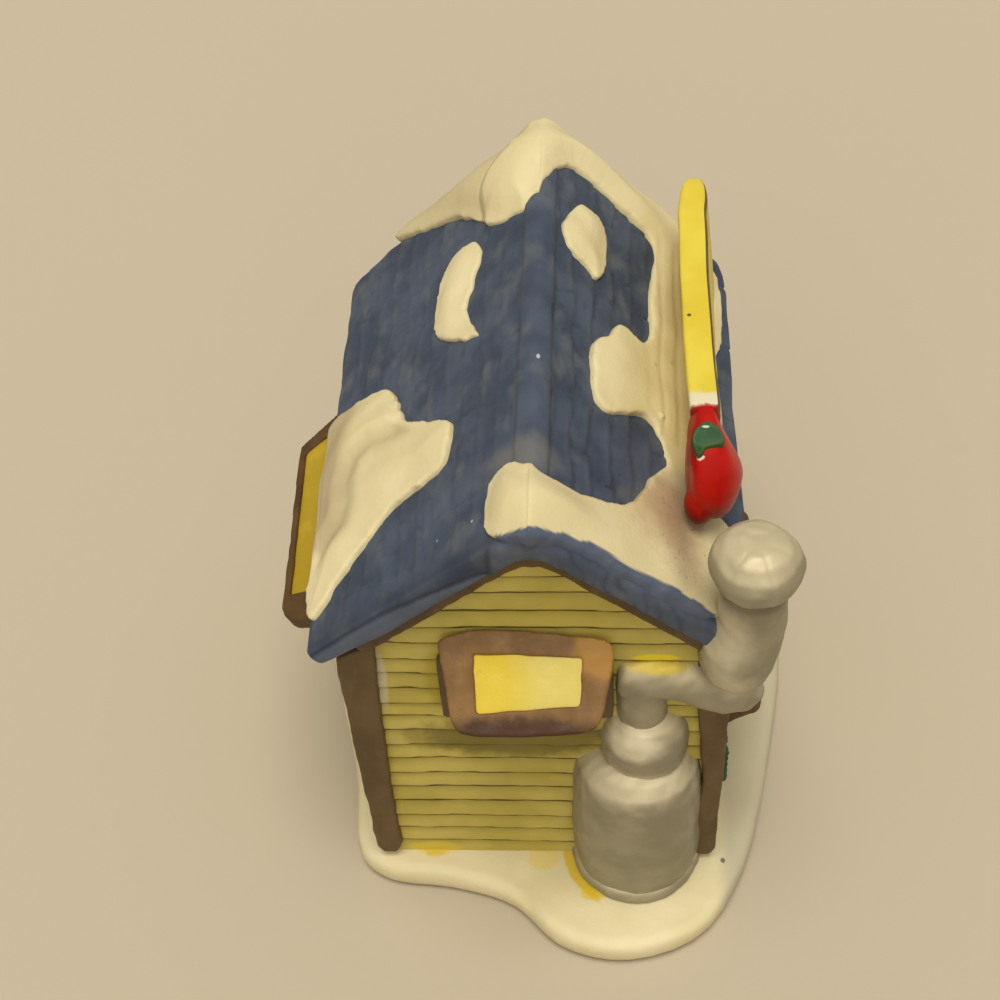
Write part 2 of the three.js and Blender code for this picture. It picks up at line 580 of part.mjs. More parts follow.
// The space from the sign's uphill face down the slope, and from its downhill face up the slope
const signReach = SIGN_THICKNESS / 2 + SEAT;
const signSpace = rectangle(-HOUSE_DEPTH, 2 * HOUSE_DEPTH, -RIDGE_Z, RIDGE_Z);
const signAndBelow = inSignPlane(signSpace, -signReach, RIDGE_Z);
const signAndAbove = inSignPlane(signSpace, -RIDGE_Z, signReach);

const aroundSign = signBoard(SEAT);
const aroundApple = appleBody(SEAT);
addPiece('sign_board', cut(signBoard(0), underRoofSkin, aroundApple), 'sign');
addPiece('apple', cut(appleBody(0), underRoofSkin), 'apple');

// The leaf is the top of a lens that is sunk in the apple, forward and to the left of its middle
const leafTop = appleZ + APPLE_RADIUS + LEAF_THICKNESS;
const leafLens = new THREE.SphereGeometry(0.5, 16, 10).rotateX(Math.PI / 2);
leafLens.scale(LEAF_WIDTH, LEAF_LENGTH, 4 * LEAF_THICKNESS);
leafLens.translate(appleX - LEAF_WIDTH / 4, APPLE_Y - LEAF_LENGTH / 2, leafTop - 2 * LEAF_THICKNESS);
addPiece('apple_leaf', cut(leafLens, aroundApple, aroundSign), 'leaf');

// Roof snow: a smooth outline on one slope, raised square to it
function snowPatch(side, outline, depth = SNOW_DEPTH) {
  const down = new THREE.Vector3(side * Math.cos(PITCH), 0, -Math.sin(PITCH));
  const along = new THREE.Vector3(0, -side, 0);
  const axes = [along, down, new THREE.Vector3().crossVectors(along, down)];
  const shape = smoothOutline(outline.map(([y, d]) => [-side * y, d]), 3 * outline.length);
  return sweep(shape, SEAT, SEAT + depth, axes, SNOW_EDGE).translate(RIDGE_X, 0, RIDGE_Z);
}

const besideSign = (outline) => snowPatch(1, outline.map(([y, below]) => [y, signDown + below]));

addPiece('roof_snow_back_left', snowPatch(-1, SNOW_BACK_LEFT, BACK_SNOW_DEPTH), 'snow');
addPiece('roof_snow_crescent', snowPatch(-1, SNOW_CRESCENT), 'snow');
addPiece('roof_snow_drift_left', snowPatch(-1, SNOW_DRIFT_LEFT), 'snow');
addPiece('roof_snow_front_left', snowPatch(-1, SNOW_FRONT_LEFT), 'snow');
addPiece('roof_snow_front_right', cut(snowPatch(1, SNOW_FRONT_RIGHT), aroundStack, aroundApple), 'snow');
addPiece('roof_snow_strip_right', cut(besideSign(SNOW_STRIP_RIGHT), aroundApple, signAndBelow), 'snow');
addPiece('roof_snow_sign_foot', cut(besideSign(SNOW_SIGN_FOOT), signAndAbove), 'snow');
addPiece('roof_snow_back_right', snowPatch(1, SNOW_BACK_RIGHT, BACK_SNOW_DEPTH), 'snow');
addPiece('roof_snow_spot_right', snowPatch(1, SNOW_SPOT_RIGHT), 'snow');

stand.updateMatrixWorld(true);
const bounds = new THREE.Box3().setFromObject(stand);
const middle = bounds.getCenter(new THREE.Vector3());
stand.position.set(-middle.x, -middle.y, -bounds.min.z);

export default stand;
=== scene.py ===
"""Hand-painted clay finish of a small winter apple stand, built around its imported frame.

Shapes are worked out in millimetres in the house's own frame: X = 0 midway between the front
corners, Y = 0 on the front wall and Z = 0 on the snow. A slope's own frame is the place along the
house, the distance down from the ridge, and the height above the slope.
"""
import math

import bpy
import numpy as np
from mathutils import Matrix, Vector


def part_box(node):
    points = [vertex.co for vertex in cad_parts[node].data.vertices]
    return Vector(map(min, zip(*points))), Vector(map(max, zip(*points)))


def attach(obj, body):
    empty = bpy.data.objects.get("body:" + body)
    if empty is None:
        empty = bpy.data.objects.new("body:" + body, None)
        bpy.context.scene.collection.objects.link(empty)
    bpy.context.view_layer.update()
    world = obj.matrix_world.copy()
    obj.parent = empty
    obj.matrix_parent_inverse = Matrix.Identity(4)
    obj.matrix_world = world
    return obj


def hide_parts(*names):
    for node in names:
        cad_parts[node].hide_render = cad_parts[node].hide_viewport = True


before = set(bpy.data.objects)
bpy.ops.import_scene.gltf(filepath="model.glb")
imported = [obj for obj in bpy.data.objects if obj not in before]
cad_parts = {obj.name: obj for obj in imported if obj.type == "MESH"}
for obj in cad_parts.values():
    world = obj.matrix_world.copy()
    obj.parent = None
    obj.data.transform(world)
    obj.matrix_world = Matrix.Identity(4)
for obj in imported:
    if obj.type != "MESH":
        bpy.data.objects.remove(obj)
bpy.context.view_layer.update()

# In a metre
MILLIMETRES = 1000
# Where the house stands in the frame, in metres
BOARD_LAP = 0.0005
front_low, front_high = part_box("wall_front")
HOUSE = np.array(
    [(front_low.x + front_high.x) / 2, front_low.y + BOARD_LAP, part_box("snow_base")[1].z]
)

RIDGE_X = 0.8
RIDGE_Z = 85.4
PITCH = math.radians(42)
HALF_WIDTH = 25.2
HOUSE_DEPTH = 69
STOVE_CENTRE = (14.7, 0.8)
LEFT = -1
RIGHT = 1


# Clay: solids turned into one soft skin of small squares


def from_frame(name):
    """A solid of the frame, as points in the house's millimetres and its faces"""
    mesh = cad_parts[name].data
    points = np.empty(len(mesh.vertices) * 3)
    mesh.vertices.foreach_get("co", points)
    points = (points.reshape(-1, 3) - HOUSE) * MILLIMETRES
    return [(points, [list(face.vertices) for face in mesh.polygons])]


def object_of(name, points, faces):
    """An object with a new mesh"""
    mesh = bpy.data.meshes.new(name)
    mesh.from_pydata(points.tolist(), [], faces)
    made = bpy.data.objects.new(name, mesh)
    bpy.context.scene.collection.objects.link(made)
    return made


def softened(solids, size, rounds):
    """One closed skin of squares over the solids, with its edges rubbed round"""
    faces = []
    count = 0
    for points, solid_faces in solids:
        faces += [[corner + count for corner in face] for face in solid_faces]
        count += len(points)
    lump = object_of("clay", np.concatenate([points for points, _ in solids]), faces)
    squares = lump.modifiers.new("squares", "REMESH")
    squares.mode = "VOXEL"
    squares.voxel_size = size
    rub = lump.modifiers.new("rub", "SMOOTH")
    rub.factor = 0.5
    rub.iterations = rounds
    skin = lump.evaluated_get(bpy.context.evaluated_depsgraph_get()).to_mesh()
    found = np.empty(len(skin.vertices) * 3)
    skin.vertices.foreach_get("co", found)
    corners = np.empty(len(skin.loops), dtype=np.int32)
    skin.loops.foreach_get("vertex_index", corners)
    mesh = lump.data
    bpy.data.objects.remove(lump)
    bpy.data.meshes.remove(mesh)
    return found.reshape(-1, 3), corners.reshape(-1, 4)


def normals_of(points, quads):
    """Outward direction at every point of a skin"""
    across = points[quads[:, 2]] - points[quads[:, 0]]
    along = points[quads[:, 3]] - points[quads[:, 1]]
    facing = np.cross(across, along)
    total = np.zeros_like(points)
    for corner in range(4):
        np.add.at(total, quads[:, corner], facing)
    return total / np.maximum(np.linalg.norm(total, axis=1, keepdims=True), 1e-9)


def pushed(points, quads, amounts):
    """A skin with every point moved straight outward by its own amount"""
    return points + normals_of(points, quads) * amounts[:, None]


def piece_of(name, points, quads, paint, nodes, values=None):
    """The finished piece, standing for its frame nodes"""
    made = object_of(name, points / MILLIMETRES + HOUSE, quads.tolist())
    made.data.polygons.foreach_set("use_smooth", [True] * len(quads))
    for label, amounts in (values or {}).items():
        stored = made.data.attributes.new(label, "FLOAT", "POINT")
        stored.data.foreach_set("value", amounts.astype(np.float32))
    made.data.materials.append(paint)
    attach(made, "root")
    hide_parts(*nodes)


def ripple(points, size, seed):
    """Smooth unevenness from about -1 to 1, over the given size"""
    draw = np.random.default_rng(seed)
    points = np.asarray(points, dtype=float)
    shift = draw.uniform(0, 6, points.shape[1])
    bent = points + size * 0.25 * np.sin(points[:, ::-1] * (1.9 / size) + shift)
    total = np.zeros(len(points))
    for _ in range(6):
        direction = draw.normal(size=points.shape[1])
        direction *= 2 * math.pi / size * draw.uniform(0.7, 1.4) / np.linalg.norm(direction)
        total += np.sin(bent @ direction + draw.uniform(0, 2 * math.pi))
    return total / 3


def ease(values, low, high):
    """0 below low, 1 above high and a soft step between"""
    share = np.clip((values - low) / (high - low), 0, 1)
    return share * share * (3 - 2 * share)


def bell(values, width):
    """1 at zero, falling away over the width"""
    return np.exp(-((values / width) ** 2))


def tube_of(rings, looped=False):
    """Closed solid through rings of equal counts, with flat ends or with its two ends joined"""
    steps = len(rings[0])
    last = steps * (len(rings) - 1)
    faces = [] if looped else [list(range(steps))[::-1], list(range(last, last + steps))]
    for level in range(len(rings) if looped else len(rings) - 1):
        low = level * steps
        high = (level + 1) % len(rings) * steps
        faces += [[low + i, low + (i + 1) % steps, high + (i + 1) % steps, high + i] for i in range(steps)]
    return np.concatenate(rings), faces


def circle(middle, radius, first, second, steps):
    """Points round a circle that lies in two directions"""
    angles = (np.arange(steps) / steps * 2 * math.pi)[:, None]
    return np.array(middle) + radius * (np.cos(angles) * first + np.sin(angles) * second)


def turned(centre, profile, steps=40):
    """Closed solid of revolution about an upright line, from radius and height pairs"""
    axes = (np.array([1.0, 0, 0]), np.array([0, 1.0, 0]))
    return tube_of([circle((*centre, height), radius, *axes, steps) for radius, height in profile])


def bent_pipe(path, radii, steps=28):
    """Closed round pipe along a path"""
    path = np.array(path, dtype=float)
    ahead = np.gradient(path, axis=0)
    ahead /= np.linalg.norm(ahead, axis=1, keepdims=True)
    rings = []
    for place, heading, radius in zip(path, ahead, radii):
        first = np.cross(heading, (0, 1.0, 0))
        first /= np.linalg.norm(first)
        rings.append(circle(place, radius, first, np.cross(heading, first), steps))
    return tube_of(rings)


def block(low, high):
    """Box between two corners"""
    foot = np.array(
        [(low[0], low[1]), (high[0], low[1]), (high[0], high[1]), (low[0], high[1])], dtype=float
    )
    return tube_of([np.insert(foot, 2, height, axis=1) for height in (low[2], high[2])])


def evenly(outline, count):
    """Points at equal distances round a closed outline"""
    closed = np.vstack([outline, outline[:1]])
    reach = np.concatenate([[0], np.cumsum(np.linalg.norm(np.diff(closed, axis=0), axis=1))])
    places = np.arange(count) / count * reach[-1]
    return np.stack([np.interp(places, reach, closed[:, axis]) for axis in range(2)], axis=1)


RIM_POINTS = 120


def plate(outer, origin, axes, low, high, inner=None):
    """Closed solid over an outline on a tilted plane, with a hole where an inner outline is given"""
    edges = [(outer, low), (outer, high)]
    if inner is not None:
        edges += [(inner, high), (inner, low)]
    axes = np.stack([*axes, np.cross(*axes)])
    rings = []
    for outline, height in edges:
        rim = np.insert(evenly(outline, RIM_POINTS), 2, height, axis=1)
        rings.append(origin + rim @ axes)
    return tube_of(rings, inner is not None)


def block_skin(counts):
    """Lattice places and square faces over the outside of a block"""
    faces = []
    for axis in range(3):
        first = (axis + 1) % 3
        second = (axis + 2) % 3
        rows, columns = np.indices((counts[first], counts[second])).reshape(2, -1, 1)
        for end, order in ((0, -1), (counts[axis], 1)):
            corners = np.full((len(rows), 4, 3), end)
            corners[:, :, first] = rows + (0, 1, 1, 0)
            corners[:, :, second] = columns + (0, 0, 1, 1)
            faces.append(corners[:, ::order])
    places, numbers = np.unique(np.concatenate(faces).reshape(-1, 3), axis=0, return_inverse=True)
    return places, numbers.reshape(-1, 4)


def rounded_block(low, high, counts, radius):
    """Skin of a block whose edges are rounded"""
    places, quads = block_skin(counts)
    low = np.array(low, dtype=float)
    high = np.array(high, dtype=float)
    points = low + places / np.array(counts) * (high - low)
    core = np.clip(points, low + radius, high - radius)
    away = points - core
    return core + away * (radius / np.linalg.norm(away, axis=1, keepdims=True)), quads


def clay_piece(name, nodes, solids, size, rounds, unevenness, paint, seed, swell=0.0, shape=None):
    """Solids made one soft piece, with its faces a little uneven"""
    points, quads = softened(solids, size, rounds)
    if shape is not None:
        points = shape(points)
    lift = swell + unevenness * (ripple(points, 7, seed) + 0.5 * ripple(points, 3, seed + 1))
    piece_of(name, pushed(points, quads, lift), quads, paint, nodes)


def hand_made(node, size, rounds, unevenness, paint, seed, swell=0.0):
    """A frame part with its edges rubbed round and its faces a little uneven"""
    clay_piece(f"clay_{node}", [node], from_frame(node), size, rounds, unevenness, paint, seed, swell)


# Outlines on a slope


def smooth_outline(outline, steps=6):
    """A closed curve through the outline's points"""
    knots = np.array(outline, dtype=float)
    before = np.roll(knots, 1, axis=0)
    after = np.roll(knots, -1, axis=0)
    later = np.roll(knots, -2, axis=0)
    curve = []
    for share in np.arange(steps) / steps:
        curve.append(
            0.5
            * (
                2 * knots
                + (after - before) * share
                + (2 * before - 5 * knots + 4 * after - later) * share**2
                + (3 * knots - before - 3 * after + later) * share**3
            )
        )
    return np.stack(curve, axis=1).reshape(-1, 2)


def distance_to(line, places, closed):
    """Distance from each place to a line, and on which side of its nearest stretch it lies"""
    starts = line if closed else line[:-1]
    ends = np.roll(line, -1, axis=0) if closed else line[1:]
    nearest = np.full(len(places), 1e9)
    side = np.zeros(len(places))
    for start, end in zip(starts, ends):
        run = end - start
        offset = places - start
        share = np.clip(offset @ run / max(run @ run, 1e-9), 0, 1)
        gap = np.linalg.norm(offset - share[:, None] * run, axis=1)
        closer = gap < nearest
        nearest[closer] = gap[closer]
        turned = run[0] * offset[:, 1] - run[1] * offset[:, 0]
        side[closer] = np.sign(turned[closer])
    return nearest, side


def inside(outline, places):
    """True for the places within a closed outline"""
    within = np.zeros(len(places), dtype=bool)
    for start, end in zip(outline, np.roll(outline, -1, axis=0)):
        spans = (start[1] > places[:, 1]) != (end[1] > places[:, 1])
        rise = end[1] - start[1]
        crossing = start[0] + (places[:, 1] - start[1]) * (end[0] - start[0]) / (rise if rise else 1e-9)
        within ^= spans & (places[:, 0] < crossing)
    return within


def depth_in(outline, places):
    """How far inside a closed outline each place is, negative outside"""
    gap, _ = distance_to(outline, places, True)
    return np.where(inside(outline, places), gap, -gap)


def off_slope(side, along, down, up):
    """House point of a place on a slope"""
    return np.stack(
        [
            RIDGE_X + side * (down * math.cos(PITCH) + up * math.sin(PITCH)),
            along,
            RIDGE_Z - down * math.sin(PITCH) + up * math.cos(PITCH),
        ],
        axis=-1,
    )


def on_slope(side, points):
    """Place along the house, distance down the slope and height above it"""
    out = side * (points[:, 0] - RIDGE_X)
    rise = points[:, 2] - RIDGE_Z
    return (
        points[:, 1],
        out * math.cos(PITCH) - rise * math.sin(PITCH),
        out * math.sin(PITCH) + rise * math.cos(PITCH),
    )


def slope_up(side):
    """Direction straight off a slope, given one side or many"""
    return np.stack([side * math.sin(PITCH), 0 * side, 0 * side + math.cos(PITCH)], axis=-1)


# How far what lies on the two slopes runs together over the ridge
RIDGE_LAP = 0.03


def slab(side, outline, low, high):
    """A plate on a slope, between two heights above it, cut off upright just past the ridge"""
    rings = []
    for height in (low, high):
        past_ridge = -(height * math.sin(PITCH) + RIDGE_LAP) / math.cos(PITCH)
        down = np.maximum(outline[:, 1], past_ridge)
        rings.append(off_slope(side, outline[:, 0], down, np.full(len(down), height)))
    return tube_of(rings)


# Paint


class Paint:
    """A brushed paint, made of nodes that read the place on the object in millimetres"""

    def __init__(self, name, base, specular=0.3, metallic=0.0):
        self.material = bpy.data.materials.new(name)
        self.material.use_nodes = True
        self.tree = self.material.node_tree
        self.surface = self.tree.nodes["Principled BSDF"]
        self.surface.inputs["Specular IOR Level"].default_value = specular
        self.surface.inputs["Metallic"].default_value = metallic
        self.colour = base
        metres = self.vector("SUBTRACT", self.add("ShaderNodeTexCoord").outputs["Object"], tuple(HOUSE))
        self.place = self.vector("MULTIPLY", metres, (MILLIMETRES, MILLIMETRES, MILLIMETRES))

    def add(self, kind, inputs=None, **settings):
        """A node with its settings, linked inputs and plain values"""
        node = self.tree.nodes.new(kind)
        for label, setting in settings.items():
            setattr(node, label, setting)
        for socket, value in (inputs or {}).items():
            if isinstance(value, bpy.types.NodeSocket):
                self.tree.links.new(value, node.inputs[socket])
            else:
                node.inputs[socket].default_value = value
        return node

    def vector(self, operation, *values):
        """One step of arithmetic with vectors"""
        node = self.add("ShaderNodeVectorMath", dict(enumerate(values)), operation=operation)
        return node.outputs["Value" if operation == "LENGTH" else "Vector"]

    def number(self, operation, *values):
        """One step of arithmetic with numbers"""
        return self.add("ShaderNodeMath", dict(enumerate(values)), operation=operation).outputs[0]

    def sum(self, first, second):
        return self.number("ADD", first, second)

    def times(self, first, second):
        return self.number("MULTIPLY", first, second)

    def axis(self, label, vector=None):
        """One coordinate, of the place unless another vector is given"""
        return self.add("ShaderNodeSeparateXYZ", {0: vector or self.place}).outputs[label]

    def stored(self, label):
        """A value kept with the shape's points"""
        return self.add("ShaderNodeAttribute", attribute_name=label).outputs["Fac"]

    def ramp(self, value, low, high):
        """0 at low and 1 at high, with a soft step between"""
        return self.add(
            "ShaderNodeMapRange",
            {"Value": value, "From Min": low, "From Max": high},
            interpolation_type="SMOOTHSTEP",
        ).outputs[0]

    def noise(self, size, detail, shift, stretch=(1, 1, 1)):
        """Uneven value from 0 to 1, over the given size"""
        scale = tuple(part / size for part in stretch)
        inputs = {"Vector": self.place, "Location": (shift, shift, shift), "Scale": scale}
        inputs = {"Vector": self.add("ShaderNodeMapping", inputs).outputs[0], "Scale": 1.0, "Detail": detail}
        return self.add("ShaderNodeTexNoise", inputs).outputs["Fac"]

    def patches(self, size, detail, shift, low=0.35, high=0.7, stretch=(1, 1, 1)):
        """Soft-edged patches of the given size"""
        return self.ramp(self.noise(size, detail, shift, stretch), low, high)

    def far(self, centre, radii):
        """Distance from a centre as a share of the radii"""
        offset = self.vector("SUBTRACT", self.place, centre)
        return self.vector("LENGTH", self.vector("DIVIDE", offset, radii))

    def blob(self, centre, radii, ragged, grain, soft):
        """1 in a spot with an uneven edge"""
        rough = self.times(self.sum(self.noise(grain, 3.0, centre[0]), -0.5), 2 * ragged)
        return self.ramp(self.sum(self.far(centre, radii), rough), 1 + soft, 1 - soft)

    def blend(self, mask, first, second):
        """The first colour where the mask is 0 and the second where it is 1"""
        inputs = {0: mask}
        for socket, tint in ((6, first), (7, second)):
            inputs[socket] = tint if isinstance(tint, bpy.types.NodeSocket) else (*tint, 1)
        return self.add("ShaderNodeMix", inputs, data_type="RGBA").outputs[2]

    def over(self, mask, tint, strength=1.0):
        """Another colour laid over the paint"""
        self.colour = self.blend(self.times(mask, strength), self.colour, tint)

    def spots(self, rows, ragged, grain, soft):
        """Spots laid over the paint, each with its centre, radii, colour and strength"""
        for centre, radii, tint, strength in rows:
            self.over(self.blob(centre, radii, ragged, grain, soft), tint, strength)

    def finish(self, roughness, depth=0.1):
        """Ties the colour, the roughness and the fine relief to the surface"""
        limits = {"From Min": 0.3, "From Max": 0.7, "To Min": roughness[0], "To Max": roughness[1]}
        spread = self.add("ShaderNodeMapRange", {"Value": self.noise(3.0, 4.0, 31.0), **limits})
        height = self.sum(self.noise(0.6, 4.0, 5.0), self.noise(2.4, 2.0, 9.0))
        inputs = {"Height": height, "Strength": 0.6, "Distance": depth / MILLIMETRES}
        relief = self.add("ShaderNodeBump", inputs)
        self.tree.links.new(self.colour, self.surface.inputs["Base Color"])
        self.tree.links.new(spread.outputs[0], self.surface.inputs["Roughness"])
        self.tree.links.new(relief.outputs[0], self.surface.inputs["Normal"])
        return self.material


SMUDGES = (
    ((16.7, 11.6, 72.7), (5.5, 5.5, 5.0), (0.46, 0.30, 0.17), 0.55),
    ((20.0, 9.5, 69.8), (3.4, 5.5, 4.0), (0.38, 0.24, 0.13), 0.7),
    ((21.5, 14.5, 68.5), (2.6, 4.5, 4.0), (0.52, 0.37, 0.23), 0.45),
    ((20.8, 3.5, 68.5), (2.2, 4.5, 4.0), (0.36, 0.26, 0.15), 0.5),
)
SNOW_SPECKS = ((17.7, 37.7, 71.8), (20.1, 40.1, 69.6), (5.5, 66.5, 81.9))
SPECK_AREA = ((20.4, 8.5, 69.2), (4.5, 8.0, 6.0))


def snow_paint():
    """Cream clay snow with painted shade in its folds and hollows, blue along its front, with a smudge below
    the apple
    """
    paint = Paint("snow_paint", (0.71, 0.61, 0.335))
    paint.over(paint.patches(9.0, 3.0, 2.0), (0.77, 0.67, 0.39))
    # Painted shade in the snow's folds, furrows and hollows and on the drift's outer flank
    paint.over(paint.stored("painted_shade"), (0.34, 0.26, 0.14), 0.6)
    paint.spots(SMUDGES, 0.5, 3.0, 0.7)
    speck = paint.times(paint.patches(0.5, 1.0, 3.0, 0.66, 0.71), paint.blob(*SPECK_AREA, 0.3, 3.0, 0.5))
    paint.over(speck, (0.22, 0.19, 0.14), 0.6)
    for centre in SNOW_SPECKS:
        paint.over(paint.blob(centre, (0.18, 0.2, 0.4), 0.3, 0.6, 0.2), (0.12, 0.10, 0.07))
    blue = paint.blend(paint.noise(3.0, 3.0, 7.0), (0.070, 0.090, 0.140), (0.115, 0.140, 0.190))
    paint.over(paint.stored("front"), blue)
    return paint.finish((0.5, 0.68))


# Slops of the wall's yellow on the ground
SLOPS = (
    ((-17.1, 0.2, 0), (2.7, 1.8, 4), (0.74, 0.54, 0.05), 0.95),
    ((0.4, -1.6, 0), (2.6, 2.0, 4), (0.74, 0.54, 0.05), 0.5),
    ((8.2, -7.2, 0), (2.0, 1.6, 4), (0.74, 0.54, 0.05), 0.8),
)


def ground_paint():
    """Cream ground snow with yellow slops along the foot of the house and round the stove, and a painted
    shadow on its right side
    """
    paint = Paint("ground_paint", (0.71, 0.62, 0.35))
    paint.over(paint.patches(11.0, 3.0, 4.0), (0.78, 0.68, 0.42))
    # Painted shadow of the house on the ground's right side
    paint.over(paint.ramp(paint.axis("X"), 26.5, 30.0), (0.52, 0.47, 0.32), 0.9)
    paint.spots(SLOPS, 0.35, 2.5, 0.22)
    uneven = paint.times(paint.noise(2.0, 2.0, 3.0), 0.8)
    far = paint.sum(paint.far((*STOVE_CENTRE, 0), (1, 1, 1000)), uneven)
    streak = paint.times(paint.ramp(far, 12.1, 11.7), paint.ramp(paint.axis("X"), 9.8, 8.0))
    paint.over(streak, (0.70, 0.48, 0.015), 0.9)
    paint.over(paint.blob((28.3, -1.6, 0), (0.35, 0.45, 4), 0.2, 1.0, 0.3), (0.2, 0.16, 0.1))
    return paint.finish((0.5, 0.68))


def board_paint(name, worn=()):
    """Olive-yellow boards with painted shade on the upper part of each and a thin painted shadow line under
    each board's foot
    """
    paint = Paint(name, (0.47, 0.38, 0.075))
    part = paint.number("FRACT", paint.stored("board"))
    paint.over(paint.patches(10.0, 3.0, 6.0, 0.35, 0.68), (0.57, 0.47, 0.115))
    paint.over(paint.patches(4.5, 2.0, 12.0, 0.55, 0.75, (1, 1, 2)), (0.64, 0.50, 0.05), 0.4)
    # Painted shade on the upper part of each board, under the foot of the board above
    paint.over(paint.ramp(part, 0.45, 0.95), (0.27, 0.21, 0.03), 0.4)
    # Thin painted shadow line just under the foot of each board
    line = paint.times(paint.ramp(part, 0.84, 0.90), paint.patches(5.0, 2.0, 7.0, 0.15, 0.4))
    paint.over(line, (0.085, 0.06, 0.010), 0.95)
    # Worn spots and slops, and on the front boards a painted shadow under the shutter
    paint.spots(worn, 0.3, 2.5, 0.3)
    return paint.finish((0.55, 0.72))


def timber_paint(name, first, second, worn=()):
    """Brown brushed paint"""
    paint = Paint(name, first)
    paint.over(paint.patches(5.0, 4.0, 8.0, 0.3, 0.7, (1, 1, 0.5)), second)
    streak = tuple(1.5 * part for part in second)
    paint.over(paint.patches(1.4, 3.0, 15.0, 0.55, 0.8, (1, 1, 0.25)), streak, 0.3)
    paint.spots(worn, 0.35, 2.0, 0.3)
    return paint.finish((0.45, 0.62))


def shingle_paint():
    """Slate blue, greyer where the brush has rubbed, with painted shade between the shingles and painted
    highlights on their lower edges
    """
    paint = Paint("shingle_paint", (0.040, 0.055, 0.088))
    paint.over(paint.patches(7.0, 5.0, 1.0, 0.35, 0.68), (0.070, 0.090, 0.130))
    paint.over(paint.patches(4.2, 5.0, 21.0, 0.50, 0.70, (1, 0.6, 1)), (0.118, 0.134, 0.138), 0.65)
    paint.over(paint.patches(2.6, 4.0, 41.0, 0.58, 0.72), (0.032, 0.045, 0.074), 0.45)
    # Painted highlight on the shingles' lower edges, the ridge band and the front edge's lower band
    paint.over(paint.stored("raised"), (0.108, 0.130, 0.175), 0.6)
    # Painted shade between the shingles, beside the ridge band and along the front edge
    paint.over(paint.stored("painted_shade"), (0.022, 0.030, 0.050), 0.85)
    halo = paint.blob((-1.5, 9.5, 84.5), (6.0, 3.2, 5.0), 0.3, 3.0, 0.5)
    paint.over(halo, (0.2, 0.19, 0.165), 0.55)
    for centre in ((1.3, 26.0, 84.9), (-11.6, 3.6, 75.0), (-6.8, 3.3, 79.3)):
        paint.over(paint.blob(centre, (0.25, 0.4, 1.0), 0.3, 0.6, 0.2), (0.5, 0.5, 0.5))
    return paint.finish((0.5, 0.7), 0.12)


def pane_paint(name, left, right, span):
    """Warm yellow pane, deeper at one end"""
    paint = Paint(name, left, specular=0.4)
    label, low, high = span
    paint.over(paint.ramp(paint.axis(label), low, high), right)
    paint.over(paint.patches(6.0, 3.0, 3.0, 0.45, 0.75), (0.80, 0.60, 0.08), 0.25)
    paint.over(paint.patches(1.1, 3.0, 18.0, 0.68, 0.76), (0.42, 0.25, 0.04), 0.35)
    return paint.finish((0.4, 0.55), 0.06)


def sign_paint():
    """Smooth yellow, bare and whitish by the apple, with a thin dark line along the outer top edge"""
    paint = Paint("sign_paint", (0.70, 0.535, 0.03), specular=0.4)
    paint.over(paint.patches(8.0, 2.0, 2.0), (0.755, 0.61, 0.055))
    ragged = paint.sum(paint.axis("Y"), paint.times(paint.noise(1.6, 2.0, 4.0), 1.6))
    paint.over(paint.ramp(ragged, 23.4, 22.2), (0.74, 0.66, 0.44))
    paint.over(paint.ramp(ragged, 20.9, 20.5), (0.36, 0.012, 0.006))
    paint.over(paint.ramp(paint.stored("outer"), 0.45, 0.6), (0.10, 0.062, 0.02))
    paint.over(paint.blob((21.5, 36.4, 82.2), (0.3, 0.3, 3), 0.2, 0.6, 0.2), (0.1, 0.07, 0.02))
    return paint.finish((0.35, 0.5), 0.05)


def apple_paint():
    """Red gloss paint with painted shade on its lower half, chipped to white in two places"""
    paint = Paint("apple_paint", (0.42, 0.005, 0.002), specular=0.16)
    paint.over(paint.patches(5.0, 3.0, 2.0), (0.53, 0.010, 0.004))
    # Painted shade towards the apple's bottom
    paint.over(paint.ramp(paint.axis("Z"), 74.5, 68.5), (0.12, 0.004, 0.002))
    for centre, radii in (((22.1, 12.8, 80.0), (0.75, 0.45, 0.6)), ((22.5, 11.2, 69.2), (0.5, 0.5, 0.35))):
        paint.over(paint.blob(centre, radii, 0.6, 0.6, 0.1), (0.78, 0.62, 0.50))
    return paint.finish((0.30, 0.42), 0.05)


def leaf_paint():
    """Deep green with a lighter worn edge"""
    paint = Paint("leaf_paint", (0.007, 0.058, 0.012), specular=0.15)
    paint.over(paint.patches(2.0, 3.0, 2.0), (0.015, 0.085, 0.020))
    paint.over(paint.stored("edge"), (0.10, 0.12, 0.03), 0.4)
    paint.over(paint.blob((23.1, 15.9, 82.3), (0.45, 0.14, 0.6), 0.3, 0.8, 0.2), (0.55, 0.62, 0.5))
    return paint.finish((0.32, 0.45), 0.04)


def wreath_paint():
    """Evergreen, lighter on the tips"""
    paint = Paint("wreath_paint", (0.010, 0.055, 0.02))
    paint.over(paint.patches(0.7, 3.0, 2.0), (0.03, 0.12, 0.04))
    paint.over(paint.stored("raised"), (0.07, 0.18, 0.07), 0.5)
    return paint.finish((0.45, 0.6), 0.15)


# Painted highlights on the drum, the collar and the stack, and a slop of the wall's yellow on the pipe
IRON_HIGHLIGHTS_AND_SLOP = (
    ((12.5, -6, 29.3), (8.0, 5.0, 2.3), (0.74, 0.64, 0.42), 0.5),
    ((13.2, -5, 37.6), (4.8, 3.5, 2.4), (0.80, 0.71, 0.48), 0.7),
    ((26.0, -3, 63.0), (3.5, 4.0, 6.0), (0.74, 0.65, 0.43), 0.6),
    ((26.8, -5, 55.5), (3.0, 3.0, 2.6), (0.74, 0.65, 0.43), 0.5),
    ((17.2, -0.8, 52.4), (4.5, 1.8, 0.8), (0.70, 0.53, 0.02), 0.8),
)


